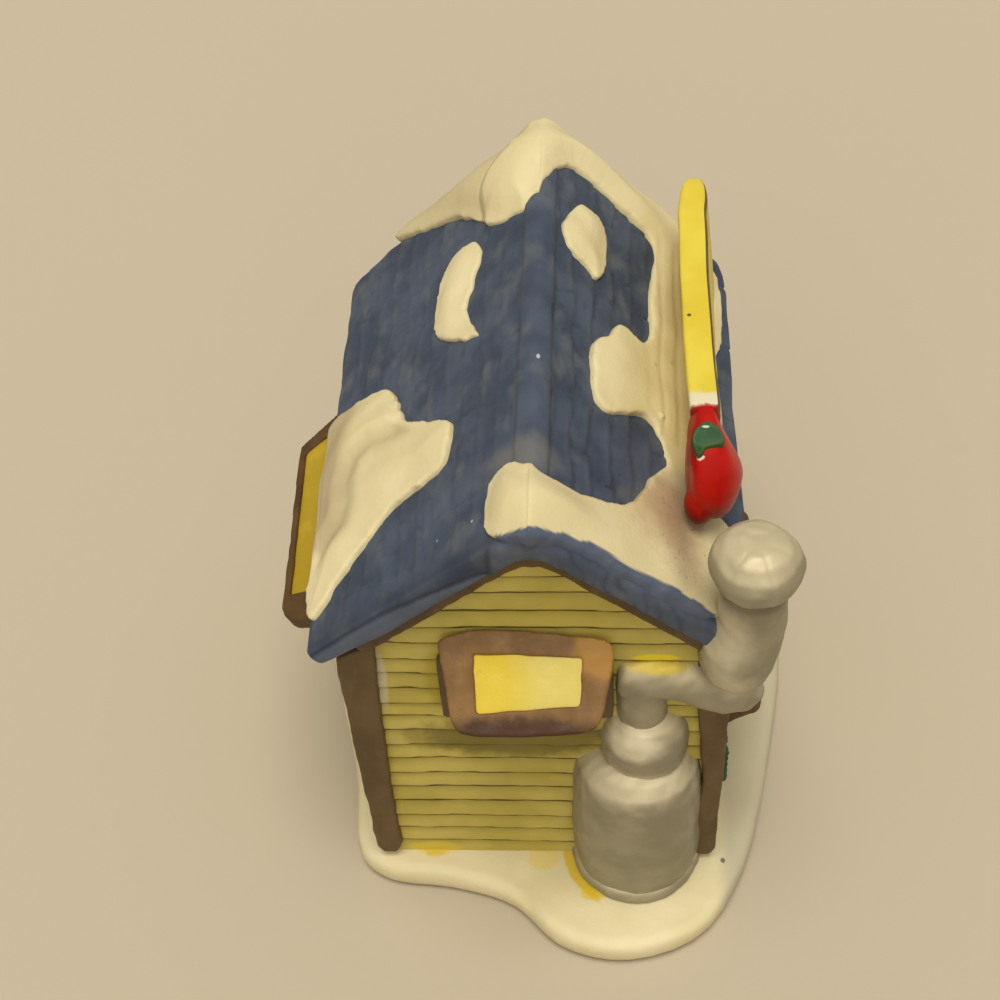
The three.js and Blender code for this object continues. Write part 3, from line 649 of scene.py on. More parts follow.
def iron_paint():
    """Grey-green silvery paint with a painted cream highlight where it faces up, standing in for the sheen
    of the light above
    """
    paint = Paint("iron_paint", (0.26, 0.23, 0.145), specular=0.4, metallic=0.15)
    paint.over(paint.patches(6.0, 3.0, 2.0), (0.33, 0.29, 0.185))
    facing = paint.axis("Z", paint.add("ShaderNodeNewGeometry").outputs["Normal"])
    uneven = paint.sum(facing, paint.times(paint.sum(paint.noise(3.0, 3.0, 6.0), -0.5), 0.5))
    # Painted highlight: cream on faces turned up
    paint.over(paint.ramp(uneven, 0.15, 0.95), (0.58, 0.495, 0.305), 0.85)
    # Painted highlights and the yellow slop
    paint.spots(IRON_HIGHLIGHTS_AND_SLOP, 0.4, 3.0, 0.5)
    paint.over(paint.patches(0.9, 3.0, 14.0, 0.66, 0.8), (0.14, 0.12, 0.07), 0.25)
    height = paint.axis("Z")
    # Painted shadow of the cap on the top of the stack
    below_cap = paint.times(paint.ramp(height, 69.3, 71.3), paint.ramp(height, 73.2, 72.4))
    paint.over(below_cap, (0.08, 0.065, 0.04), 0.45)
    return paint.finish((0.38, 0.55), 0.07)


# The ground


def make_ground(paint):
    """Snow slab with a rounded lip, heaped a little against the walls"""
    points, quads = softened(from_frame("snow_base"), 0.5, 10)
    normals = normals_of(points, quads)
    top = ease(normals[:, 2], 0.2, 0.7) * (points[:, 2] > -2)
    out = np.hypot(
        np.maximum(np.abs(points[:, 0]) - HALF_WIDTH, 0),
        np.maximum(np.abs(points[:, 1] - HOUSE_DEPTH / 2) - HOUSE_DEPTH / 2, 0),
    )
    flat = points[:, :2]
    valley = 0.5 * bell(points[:, 0] + 2.6, 1.8) * ease(-points[:, 1], 1.5, 6)
    lift = 0.42 * bell(out, 2.2) + 0.22 * ripple(flat, 16, 11) * ease(out, 0, 3) - valley
    points[:, 2] += top * lift
    piece_of("clay_ground", points, quads, paint, ["snow_base"])


# Walls

# Heights of the scribed lines, and the height of a board below the first
BOARD_LINES = (
    3.6, 7.6, 11.3, 15.8, 19.9, 23.7, 27.9, 31.4, 35.4, 39.1, 42, 46, 49.7, 53.1, 57.1, 60.6, 64.4, 68.4,
    71.6, 75.4, 79.2,
)


BOARD_HEIGHT = 3.8
BOARD_DEPTH = 0.5
EAVE_HEIGHT = 57


def make_wall(name, axis, sign, plane, seed, paint):
    """Clapboards with slightly wavy edges, each thickest at its foot"""
    points, quads = softened(from_frame(name), 0.32, 3)
    across = 1 - axis
    flat = np.stack([points[:, across], points[:, 2]], axis=1)
    wave = 0.15 * ripple(flat * (1, 0.3), 17, seed) + 0.06 * ripple(flat, 6, seed + 1)
    level = points[:, 2] + wave
    if name == "wall_front":
        level = level + 0.045 * np.maximum(points[:, 0] - 1, 0) * ease(25 - points[:, 2], 0, 14)
    board = np.interp(level, BOARD_LINES, np.arange(len(BOARD_LINES)) + 1.0)
    board += np.minimum(level - BOARD_LINES[0], 0) / BOARD_HEIGHT
    part = board - np.floor(board)
    relief = BOARD_DEPTH * (1 - part) ** 0.7 * ease(part, 0, 0.06) + 0.03 * ripple(flat, 4, seed + 2)
    outward = sign * points[:, axis] - plane
    outer = ease(outward, -0.9, -0.4)
    points[:, axis] += sign * outer * (relief - outward)
    if axis == 1:
        below_eave = ease(EAVE_HEIGHT - points[:, 2], 0, 2)
        points[:, 0] += np.sign(points[:, 0]) * 1.9 * ease(np.abs(points[:, 0]), 18, 22) * below_eave
    piece_of(f"clay_{name}", points, quads, paint, [name], {"board": board})


def make_post(name, left, right, paint, seed):
    """Corner post that narrows towards a rounded foot"""
    points, quads = softened(from_frame(name), 0.3, 8)
    low = points[:, 0].min()
    share = (points[:, 0] - low) / (points[:, 0].max() - low)
    height = points[:, 2]
    start = np.interp(height, *zip(*left))
    end = np.interp(height, *zip(*right))
    middle = (start + end) / 2
    foot = np.sqrt(np.clip(1 - (np.clip(4.2 - height, 0, 3.6) / 3.7) ** 2, 0.1, 1))
    points[:, 0] = middle + (share - 0.5) * (end - start) * foot
    points[:, 2] += 0.9 * ease(5 - height, 0, 4)
    wobble = 0.1 * ripple(points, 9, seed) + 0.05 * ripple(points, 3, seed + 1)
    piece_of(f"clay_{name}", pushed(points, quads, wobble), quads, paint, [name])


# Roof

COURSE = 3.45
ROOF_THICKNESS = 4.4
LEFT_SLOPE = 42.4
RIGHT_SLOPE = 39.2
ROOF_FRONT = -3
ROOF_BACK = 72
RIDGE_BAND = 2.7
# Places along the house, and how far down the slope the right eave then reaches
RIGHT_EAVE = ((-3, 39.0), (22, 39.3), (32, 38.7), (41, 38.3), (55, 38.1), (65, 38.2), (69, 37.4), (72, 36.0))
# Distances from the ridge, negative on the left, and how far back the roof then reaches
ROOF_END = (
    (-42.4, 68.6), (-40, 69.9), (-37, 70.6), (-33, 71.6), (-29, 72), (14, 72), (24, 71.4), (29, 71),
    (34, 70.2), (39.2, 69),
)
# Places across the left front edge, and how far below the roof's top its crease lies
CREASE = ((-27.3, 0.9), (-22, 0.7), (-16.4, 1.1), (-10.9, 1.9), (-6.2, 2.9), (-3, 4.2), (0, 4.6))
# Squares of the roof's skin across, along and through it, and how round its edges are
ROOF_SQUARES = (212, 196, 14)
ROOF_ROUNDING = 1.5
SHINGLE = 15
SHINGLE_ROUNDING = 1.7
# How many courses, and shingles in a course, have sizes and heights of their own
COURSES = 40
SHINGLES = 64


def shingle_relief(along, down, seed):
    """Height of the shingles, the painted shade between them, and the painted highlight on their thick lower
    halves
    """
    places = np.stack([along, down], axis=1)
    level = down / COURSE + 0.12 * ripple(places, 22, seed) + 0.06 * ripple(places, 7, seed + 1)
    course = np.floor(level)
    part = level - course
    draw = np.random.default_rng(seed)
    shifts = draw.uniform(0, SHINGLE, COURSES)
    lengths = draw.uniform(0.8, 1.25, COURSES)
    index = (course % COURSES).astype(int)
    reach = (along + shifts[index]) / (SHINGLE * lengths[index]) + 0.05 * ripple(places, 5, seed + 2)
    shingle = np.floor(reach)
    run = reach - shingle
    lifts = draw.uniform(-0.10, 0.12, (COURSES, SHINGLES))
    lift = lifts[index, (shingle % SHINGLES).astype(int)]
    to_front = run * SHINGLE
    to_edge = (1 - part) * COURSE
    corner = np.hypot(np.maximum(SHINGLE_ROUNDING - to_front, 0), np.maximum(SHINGLE_ROUNDING - to_edge, 0))
    edge = ease(SHINGLE_ROUNDING - corner, -0.15, 0.5)
    height = (0.06 + 0.40 * part + 0.14 * (1 - run) + lift) * edge
    # Painted shade in the gaps between the shingles
    painted_shade = 0.7 * bell(to_edge - COURSE, 0.45) + 0.5 * bell(to_front, 0.35) + 0.25 * (1 - edge)
    painted_shade = np.clip(painted_shade, 0, 1) * np.clip(0.55 + 0.6 * ripple(places, 7, seed + 3), 0.1, 1)
    # Painted highlight on the thick lower half of each shingle
    raised = ease(part, 0.45, 0.9) * edge * (1 - bell(to_front, 0.6))
    return height, painted_shade, raised * np.clip(0.5 + 0.6 * ripple(places, 9, seed + 4), 0, 1)


def roof_place(across, along, up):
    """House point of a place on the roof, from its signed distance down from the ridge"""
    out = across * math.cos(PITCH)
    worn = 0.9 + 0.18 * np.maximum(-up, 0)
    lean = ease(np.abs(across), 1, 7)
    x = RIDGE_X + out + up * np.sign(across) * math.sin(PITCH) * lean
    rise = RIDGE_Z - math.tan(PITCH) * np.sqrt(out**2 + worn**2)
    return np.stack([x, along, rise + up * (lean * math.cos(PITCH) + (1 - lean) / math.cos(PITCH))], axis=1)


def front_edge_relief(across, x, up, points):
    """How far the roof's front edge stands forward, with painted shade above its crease, at a step and in
    its brush strokes, and a painted highlight on the band below the crease
    """
    left = ease(-3.5 - x, 0, 1)
    crease = -np.interp(x, *zip(*CREASE))
    below = ease(crease - up, -0.1, 0.2) * left
    groove = bell(up - crease, 0.35) * left
    lobe = ease(x, -4.7, -4.1)
    step = bell(x + 4.5, 0.3) * ease(up, -4.2, -3.2)
    stroke = (np.abs(across) * 0.9 + up * 1.1) / 2.6 + 0.35 * ripple(points, 8, 305)
    part = stroke - np.floor(stroke)
    cut = bell(part - 0.5, 0.14) * ease(x, 2, 6) * (0.5 + 0.5 * ripple(points, 6, 307))
    forward = 0.22 * below - 0.15 * groove + 0.5 * lobe * ease(16 - x, 0, 12) - 0.18 * np.clip(cut, 0, 1)
    forward = forward + 0.12 * ripple(points, 6, 303)
    # Painted shade above the crease, at the step and in the strokes; the third value is a painted highlight
    # on the band below the crease and on the lobe
    above = (1 - below) * left
    painted_shade = np.clip(0.5 * groove + 0.65 * above + 0.6 * step + 0.6 * np.clip(cut, 0, 1), 0, 1)
    return forward, painted_shade, 1.1 * below + 0.3 * lobe


def make_roof(paint):
    """Both slopes and the ridge as one soft skin: shingles in courses, with a smooth band on the ridge"""
    low = (-LEFT_SLOPE, ROOF_FRONT, -ROOF_THICKNESS)
    places, quads = rounded_block(low, (RIGHT_SLOPE, ROOF_BACK, 0), ROOF_SQUARES, ROOF_ROUNDING)
    across, along, up = places.T
    up = up * (1 - 0.22 * ease(-across, 28, 42))
    eave = np.interp(along, *zip(*RIGHT_EAVE)) / RIGHT_SLOPE
    across = np.where(across > 0, across * eave, across)
    end = np.interp(across, *zip(*ROOF_END))
    along = ROOF_FRONT + (along - ROOF_FRONT) * (end - ROOF_FRONT) / (ROOF_BACK - ROOF_FRONT)
    points = roof_place(across, along, up)
    normals = normals_of(points, quads)
    down = np.abs(across)
    top = ease(up, -0.45, -0.05)
    off_band = ease(down, RIDGE_BAND - 0.3, RIDGE_BAND + 0.4)
    inland = ease(along, -2.2, 1.6) * top * off_band
    lift, painted_shade, raised = np.zeros((3, len(points)))
    for side, seed, strength in ((LEFT, 201, 0.4), (RIGHT, 231, 0.7)):
        chosen = across * side > 0
        height, low, high = shingle_relief(along[chosen], down[chosen], seed)
        lift[chosen] = strength * (height - 0.25)
        painted_shade[chosen] = low * (0.1 + 0.8 * strength)
        raised[chosen] = high * strength
    lift = lift * inland + 0.14 * ripple(np.stack([along, across], axis=1), 13, 209) * top
    lift += top * 0.5 * (1 - off_band)
    # Painted shade beside the ridge band and on the left slope's top just behind the front edge; painted
    # highlight on the ridge band
    beside_band = bell(down - RIDGE_BAND, 0.4) * top * ease(along, 4, 8)
    before_edge = ease(1.0 - along, 0, 3.2) * top * ease(-across, 2, 6)
    painted_shade = painted_shade * inland + 0.22 * beside_band + 0.65 * before_edge
    raised = raised * inland + 0.2 * top * (1 - off_band)
    points += normals * lift[:, None]
    front = ease(ROOF_FRONT + 1.0 - along, 0, 0.9)
    forward, dark, light = front_edge_relief(across, points[:, 0], up, points)
    points[:, 1] -= front * forward
    side_face = (1 - top) * (1 - front)
    points += normals * (side_face * 0.12 * ripple(points, 5, 211))[:, None]
    painted_shade = np.clip(painted_shade * (1 - front) + dark * front, 0, 1)
    raised = np.clip(raised * (1 - front) + light * front, 0, 1)
    nodes = ["roof_left", "roof_right", "ridge_cap"]
    piece_of("clay_roof", points, quads, paint, nodes, {"painted_shade": painted_shade, "raised": raised})


def worn_peak(points):
    """The bent board's peak, rubbed a little lower"""
    return points - np.array([0, 0, 0.7]) * bell(points[:, :1] - RIDGE_X, 2.5)


def make_bargeboards(gable, near, far, paint, seed):
    """Dark board under the roof's edge on one gable, bent over the peak"""
    solids = []
    for side, end in ((LEFT, 36.5), (RIGHT, 35)):
        outline = np.array([(near, -0.5), (far, -0.5), (far, end), (near, end)])
        solids.append(slab(side, outline, -ROOF_THICKNESS - 1.5, -ROOF_THICKNESS + 0.6))
    peak = RIDGE_Z - ROOF_THICKNESS / math.cos(PITCH)
    solids.append(block((RIDGE_X - 2.4, near, peak - 2.9), (RIDGE_X + 2.4, far, peak - 0.6)))
    nodes = [f"bargeboard_{gable}_{side}" for side in ("left", "right")]
    clay_piece(f"clay_bargeboard_{gable}", nodes, solids, 0.26, 6, 0.08, paint, seed, 0, worn_peak)


# Snow on the roof

BACK_LEFT = (
    (74.2, -1.5), (59.8, -1.5), (58.4, 0.9), (56.8, 2.4), (57.1, 4.3), (57.3, 7.3), (59, 10.4), (61.3, 11.9),
    (65.8, 17.3), (67.3, 21), (69.3, 26), (71.2, 31), (72.6, 30.4), (73.8, 19), (74.4, 8.2),
)
FRONT_LEFT = (
    (6.4, -1.5), (7.6, 0.7), (8.9, 3.2), (8.4, 5.4), (6.6, 6.8), (3.7, 7.4), (1.3, 7.3), (-1.2, 6.3),
    (-3.0, 3.6), (-3.6, -1.5),
)
MAIN_RIGHT = (
    (60.2, -1.5), (62.4, 0.8), (65.7, 2.8), (67.6, 5.6), (67.3, 10.6), (65.9, 14.6), (64.6, 18.6),
    (63.3, 21.4), (59.8, 22.2), (56.5, 21.4), (50, 20.8), (44.7, 20.9), (41.8, 20.2), (39.9, 18.6),
    (41, 14.5), (37.6, 12.9), (35.9, 10.8), (32.4, 9.6), (29.3, 9.8), (25.5, 9.7), (23.4, 11), (23.2, 13),
    (25, 16.5), (26.5, 19.1), (25.6, 21.2), (23.5, 22.3), (20.4, 23.5), (18.4, 22.4), (16.4, 20.6),
    (12.6, 18.6), (9.8, 16.8), (7.9, 14.4), (6.7, 11), (6.1, 7.6), (6, 2), (6.2, -1.5), (-3.6, -1.5),
    (-3.0, 5), (-2.7, 10), (-2.7, 16), (-2.6, 24), (-2.2, 30.4), (0.5, 33.6), (5, 36.6), (13, 36.8),
    (15.6, 33.6), (17, 30.2), (24, 29.9), (45, 29.9), (64, 29.9), (66.6, 32.4), (69.4, 30.4), (71.6, 26),
    (73.4, 15), (74.4, 5.5), (74.4, -1.5),
)
CRESCENT = (
    (57.7, 13.5), (55.5, 11.8), (53.3, 11.4), (50.5, 12.4), (47.7, 12.8), (45.6, 13.9), (43.2, 13.7),
    (39.6, 12.2), (37, 11.1), (37.4, 12.6), (37.9, 14.1), (40.6, 18.4), (44, 20.2), (48.9, 20.4),
    (53.6, 19.6), (56.7, 17.6),
)
SPOT_RIGHT = (
    (58.3, 5.5), (60.4, 6.6), (61.1, 8.4), (60.3, 10.7), (56.6, 12.4), (51.7, 12.1), (48.6, 11.2),
    (47.3, 10.3), (48.6, 8.8), (49.8, 6), (51.4, 4.6), (53.6, 4.2), (56.2, 4.6),
)
DRIFT_LEFT = (
    (38.5, 30.2), (36.6, 28.4), (34.2, 27.1), (31.6, 26), (28.7, 24.5), (26, 20), (23.1, 15.5),
    (19.6, 15.2), (16.3, 15.9), (15, 18.1), (14.6, 21.6), (14.2, 24.9), (12.6, 28), (10.5, 30.5),
    (6.5, 36.1), (2.4, 40.4), (5.4, 42.2), (12, 42.4), (22, 42.2), (34, 42.4), (38.4, 41.8), (39.4, 36),
)
DRIFT_FOLD = (
    (13.0, 40.4), (14.1, 38.3), (15.9, 35.4), (19.0, 34.6), (23.2, 35.2), (26.7, 34.2), (28.0, 31.2),
    (28.1, 27.2), (27.4, 24.2),
)
BESIDE_SIGN = (
    (44.6, 31.6), (46.1, 33.5), (49.6, 34.7), (54.2, 35.4), (59.6, 35.5), (63.7, 35.1), (65.7, 34.1),
    (66.4, 32.0),
)


# How round the ridge is on the rubbed slabs, at the snow's edges and where the snow is heaped
CLAY_RIDGE = math.sqrt(0.2)
SOFT_RIDGE = 1.4
SNOW_RIDGE = 4.2
SNOW_SQUARE = 0.34
# Height of the slabs' underside, inside the roof
SLAB_FOOT = -1.6
BACK_FOLD = ((59.6, 11.6), (61.2, 11), (64.2, 10.6), (67.4, 8.9), (70.4, 6.0))
SNOW_HOLES = ((37.7, 21.7), (40.1, 24.9))


def ridge_drop(out, rounder, sharper):
    """How much lower the rounder of two ridges lies, at a distance out from its line"""
    return math.tan(PITCH) * (np.sqrt(out**2 + rounder**2) - np.sqrt(out**2 + sharper**2))


def mound(places, centre, radii):
    """1 at a place on the slope, falling away over the radii"""
    return bell(np.hypot(*((places - np.array(centre)) / radii).T), 1.0)


def fold(places, line, high, reach, groove, soft):
    """Step beside a crease: high on its left, with a groove along it, and the distance past it"""
    gap, side = distance_to(np.array(line, dtype=float), places, False)
    rise = high * (side > 0) * bell(gap, reach) * ease(gap, 0, soft)
    return rise - groove * bell(gap, 0.62 * soft), bell(gap, 0.6 * soft), gap * side


def over_ridge():
    """Outline of the main snow laid flat over both slopes, with places on the left below zero"""
    ridge = MAIN_RIGHT.index((6, 2)) + 1
    front = [(along, -down) for along, down in FRONT_LEFT[1:-1]]
    back = [(along, -down) for along, down in BACK_LEFT[:1:-1]]
    return smooth_outline([*MAIN_RIGHT[1:ridge], *front, *MAIN_RIGHT[ridge + 2 : -1], *back], 3)


def snow_skin(plates, rounds, seed):
    """Soft-edged snow over slabs on the slopes, and which slope each point is on"""
    solids = []
    for side, outline, depth in plates:
        edge = smooth_outline(outline)
        ragged = np.stack([ripple(edge, 2.6, seed), ripple(edge, 2.6, seed + 1)], axis=1)
        solids.append(slab(side, edge + 0.16 * ragged, SLAB_FOOT, depth))
    points, quads = softened(solids, SNOW_SQUARE, rounds)
    return points, quads, np.where(points[:, 0] > RIDGE_X, RIGHT, LEFT)


def heap(outline, places, height, reach):
    """A crown over an outline that goes on over the ridge, highest in its middle"""
    whole = smooth_outline(outline, 3)
    whole[:, 1] = np.where(whole[:, 1] < -0.5, -15, whole[:, 1])
    return height * (1 - bell(np.maximum(depth_in(whole, places), 0), reach))


def make_snow(name, nodes, plates, shape, paint, seed, rounds=8):
    """Snow on the roof with its own crown, folds and furrows"""
    points, quads, side = snow_skin(plates, rounds, seed)
    normals = normals_of(points, quads)
    lift, painted_shade, front = np.zeros((3, len(points)))
    for flank in np.unique(side):
        chosen = side == flank
        along, down, up = on_slope(flank, points[chosen])
        places = np.stack([along, down], axis=1)
        above = ease(up, -0.3, 0.5) * ease(normals[chosen] @ slope_up(flank), 0.1, 0.8)
        raised, sunk = shape(flank, places)
        lift[chosen] = raised * above
        # The second value of each shape is painted shade, kept with the points
        painted_shade[chosen] = np.clip(sunk, 0, 1)
        rim = np.interp(down, (0, 3, 9), (-3.3, -2.6, -1.5)) + 0.2 * ripple(places[:, 1:], 6, 401)
        front[chosen] = ease(rim - along, -0.12, 0.12)
    out = points[:, 0] - RIDGE_X
    near_ridge = bell(out, 6.0)[:, None]
    upward = slope_up(side) * (1 - near_ridge) + np.array([0, 0, 1.0]) * near_ridge
    uneven = 0.08 * ripple(points, 9, seed + 2)
    points = points + upward * lift[:, None] + normals * uneven[:, None]
    points[:, 2] -= ridge_drop(out, SOFT_RIDGE, CLAY_RIDGE)
    nodes = [f"roof_snow_{node}" for node in nodes]
    piece_of(f"clay_snow_{name}", points, quads, paint, nodes, {"painted_shade": painted_shade, "front": front})


def main_snow_shape(flank, places):
    """Crown and folds of the snow that runs from the back over the right slope to the front"""
    along, down = places.T
    heaped = ease(along, 52, 58) * bell(down, 20 if flank == LEFT else 17)
    dome = mound(places, (1.5, 0), 9)
    depth = np.maximum(depth_in(over_ridge(), places * (1, flank)), 0)
    out = down * math.cos(PITCH) + 0.6
    rounding = ridge_drop(out, SNOW_RIDGE, SOFT_RIDGE) * bell(out, 9) * np.minimum(heaped + dome, 1)
    lift = 0.2 * ripple(places, 16, 71) + (3.7 * heaped + 3.9 * dome - rounding) * (1 - bell(depth, 2.8))
    if flank == LEFT:
        rise, crease, past = fold(places, BACK_FOLD, -1.1, 3.6, 0.5, 1.2)
        near = ease(along, 56, 59)
        # The crease and the place past it get painted shade
        return lift + rise * near, (0.8 * crease + 0.6 * ease(past, 0, 2)) * near
    strip = ease(down, 18.6, 20.2) * ease(along, 22, 28) * ease(66 - along, 0, 4)
    valley = mound(places, (10, 27), (8, 2.2))
    lift += 0.35 * ease(14 - along, 0, 10) - 0.1 * strip - 0.55 * valley
    # Painted shade in the valley, the furrows and the small dents
    sunk = 0.25 * valley
    for centre, radii, height in (
        ((32, 14), (8.5, 5.5), 0.6),
        ((24, 37.5), (3.5, 1.6), 0.9),
        ((27.8, 22.1), 0.4, 0.5),
    ):
        lift += height * mound(places, centre, radii)
    for place, amount in ((22.6, 0.14), (25.6, 0.16)):
        wander = place + 0.2 * ripple(places[:, :1], 26, int(place))
        furrow = bell(down - wander, 0.55) * strip
        lift -= amount * furrow
        sunk += 0.3 * furrow
    for hole in SNOW_HOLES:
        dent = mound(places, hole, 0.3)
        lift -= 0.1 * dent
        sunk += 0.9 * dent
    return lift, sunk


def drift_shape(flank, places):
    """Crown and long fold of the drift on the left eave"""
    along, down = places.T
    lift = heap(DRIFT_LEFT, places, 1.1, 4.5) + 0.15 * ripple(places, 12, 75)
    rise, crease, _ = fold(places, DRIFT_FOLD, 1.1, 6.5, 0.6, 3.0)
    inner = ease(heap(DRIFT_LEFT, places, 1.0, 2.0), 0, 0.6)
    # Painted shade on the drift's outer flank, which hangs away from the light, and along its fold
    outer = ease(down, 33.5, 38) * ease(along, 12, 17)
    return lift + rise * inner, 0.65 * crease * inner + outer


def small_snow_shape(outline, height):
    """Crown of a small patch"""

    def shape(flank, places):
        lift = heap(outline, places, height, 2.0) + 0.12 * ripple(places, 6, 77)
        return lift, np.zeros(len(places))

    return shape


# Sign, apple and leaf

SIGN_OUTLINE = (
    (19.5, 62), (67.4, 62), (67.4, 78.4), (66.9, 80.3), (65.6, 81.5), (63.4, 82.1), (58, 82.2), (19.5, 82.2),
)
SIGN_TOP = 82.2
SIGN_FACES = (20.55, 24.55)
SIGN_LEAN = math.tan(math.radians(5.6))


def make_sign(paint):
    """Smooth leaning board on the right slope, narrower at its far end and slightly bowed"""
    along, height = np.array(SIGN_OUTLINE).T
    leaning = (SIGN_TOP - height) * SIGN_LEAN
    rings = [np.stack([face + leaning, along, height], axis=1) for face in SIGN_FACES]
    points, quads = softened([tube_of(rings)], 0.33, 10)
    middle = sum(SIGN_FACES) / 2 + (SIGN_TOP - points[:, 2]) * SIGN_LEAN
    narrow = np.sqrt(np.clip(1 - (np.maximum(points[:, 1] - 60, 0) / 6.2) ** 2, 0.1, 1))
    bow = np.interp(points[:, 1], (20, 32, 45, 58, 67), (0.5, 0.05, -0.2, -0.1, 0.5))
    points[:, 0] = middle + (points[:, 0] - middle) * narrow + bow
    normals = normals_of(points, quads)
    points = points + normals * (0.08 * ripple(points, 10, 81) + 0.05)[:, None]
    below_top = points[:, 2] - points[:, 2].max()
    outer = ease(normals[:, 0], 0.35, 0.6) * ease(below_top, -1.9, -1.3)
    piece_of("clay_sign", points, quads, paint, ["sign_board"], {"outer": outer})


APPLE_CENTRE = (24.0, 18.2, 73.5)
APPLE_DEPTH = 7.9
APPLE_HEIGHT = 8.8
APPLE_BACK = 20.4
LEAF = (
    (23.4, 16.7), (24.7, 16.0), (25.4, 14.9), (25.3, 13.9), (23.1, 13.5), (22.8, 13.0), (22.1, 12.8),
    (21.5, 13.6), (21.3, 14.5), (21.7, 15.5), (22.4, 16.3),
)


def ball(centre, radii, rings=48, steps=72):
    """Closed skin of an oval"""
    turns = np.arange(rings + 1) / rings * math.pi
    points, faces = turned((0, 0), np.stack([np.sin(turns), -np.cos(turns)], axis=1), steps)
    return points * radii + centre, faces


def make_apple(paint):
    """Apple with a flat inner face, fused to the sign's end, dimpled and lobed below"""
    body, faces = ball((0, 0, 0), (1, 1, 1))
    across, deep, tall = body.T
    reach = np.abs(across)
    notch = 0.5 * bell(across + 0.1, 0.25) * ease(-tall, 0.2, 1.0)
    tall = APPLE_CENTRE[2] + APPLE_HEIGHT * tall
    deep = APPLE_CENTRE[1] + APPLE_DEPTH * deep
    outward = 1.0 + 3.5 * ease(102 - tall - deep, 0, 14)
    wide = np.where(across < 0, -3.1 * reach**0.4, outward * reach**0.75)
    points = np.stack([APPLE_CENTRE[0] + wide, np.minimum(deep, APPLE_BACK), tall + notch], axis=1)
    lobe = ball((22.5, 12.6, 70.6), (2.0, 2.7, 3.0), 20, 30)
    points, quads = softened([(points, faces), lobe], 0.26, 7)
    points = pushed(points, quads, 0.1 * ripple(points, 6, 83))
    piece_of("clay_apple", points, quads, paint, ["apple"])


def make_leaf(paint):
    """Small raised leaf bent over the apple"""
    outline = smooth_outline(LEAF, 4)
    across, along = outline.T
    fall = np.sqrt(np.clip(1 - ((along - APPLE_CENTRE[1]) / (APPLE_DEPTH + 0.1)) ** 2, 0, 1))
    surface = APPLE_CENTRE[2] + APPLE_HEIGHT * fall
    rings = [np.stack([across, along, surface + height], axis=1) for height in (-0.7, 0.45)]
    points, quads = softened([tube_of(rings)], 0.15, 5)
    edge = ease(0.55 - depth_in(outline, points[:, :2]), 0, 0.4)
    piece_of("clay_leaf", points, quads, paint, ["apple_leaf"], {"edge": edge})


def make_wreath(paint):
    """Round wreath of short stubby needles"""
    points, quads = softened(from_frame("wreath"), 0.22, 4)
    middle = (points.max(axis=0) + points.min(axis=0)) / 2
    points = middle + (points - middle) * 0.85
    tufts = ripple(points, 1.3, 91) * 0.6 + ripple(points, 0.8, 92) * 0.4
    points = pushed(points, quads, 0.34 * tufts)
    piece_of("clay_wreath", points, quads, paint, ["wreath"], {"raised": ease(tufts, 0, 0.9)})


# Shutters, in their own planes: place across, and distance out from the hinge

FRONT_FLAP = (
    (-12.2, 0.3), (-11.5, -0.7), (-9.7, -1.4), (-5.5, -1.9), (1.0, -1.6), (8.6, -0.9), (10.6, -0.4),
    (11.3, 1.4), (10.5, 6.0), (9.6, 10.1), (8.3, 11.5), (5.0, 11.9), (-1.2, 12.3), (-8.0, 12.2),
    (-10.2, 10.6), (-11.2, 6.0),
)
FRONT_GLASS = ((-7.5, 1.3), (7.1, 1.8), (6.7, 8.2), (-6.9, 9.3))
LEFT_FLAP = (
    (49.0, 0.5), (49.0, 2.0), (46.1, 5.5), (42.6, 10.2), (40.0, 10.8), (25.5, 10.4), (12.6, 10.1),
    (10.6, 9.9), (8.9, 8.8), (8.0, 6.4), (7.8, 3.0), (7.8, 0.5), (20.0, 0.5), (35.0, 0.5),
)
LEFT_GLASS = ((45.0, 2.6), (43.2, 5.5), (40.6, 9.7), (27.3, 9.5), (13.2, 9.0), (13.2, 6.9), (13.2, 2.6))
FLAP_THICKNESS = 2.4


def make_shutter(label, flap, glass, hinge, along, outward, tilt, frame_look, pane_look, seed):
    """Flap with a wide soft frame round its pane, tilted down from its hinge"""
    origin = np.array(hinge)
    glass = np.array(glass)
    tilt = math.radians(tilt)
    axes = (np.array(along), np.array(outward) * math.cos(tilt) - np.array([0, 0, math.sin(tilt)]))
    facing = np.cross(*axes)[2]
    deep = (-FLAP_THICKNESS, 0.0) if facing > 0 else (0.0, FLAP_THICKNESS)
    solid = plate(smooth_outline(flap, 4), origin, axes, *deep, inner=glass)
    name = f"shutter_frame_{label}"
    clay_piece(f"clay_{name}", [name], [solid], 0.22, 5, 0.08, frame_look, seed)
    middle = glass.mean(axis=0)
    larger = middle + (glass - middle) * (1 + 0.5 / np.abs(glass - middle).max(axis=0))
    sunk = (deep[0] + 0.5, deep[1] - 0.45) if facing > 0 else (deep[0] + 0.45, deep[1] - 0.5)
    solid = plate(larger, origin, axes, *sunk)
    name = f"shutter_pane_{label}"
    clay_piece(f"clay_{name}", [name], [solid], 0.24, 3, 0.04, pane_look, seed + 4)


# The stove: its upright line stands just off the front wall

COLLAR_CENTRE = (15.7, 0.8)
PIPE_CENTRE = (15.3, 0.8)
STACK_CENTRE = (29.2, -1.0)
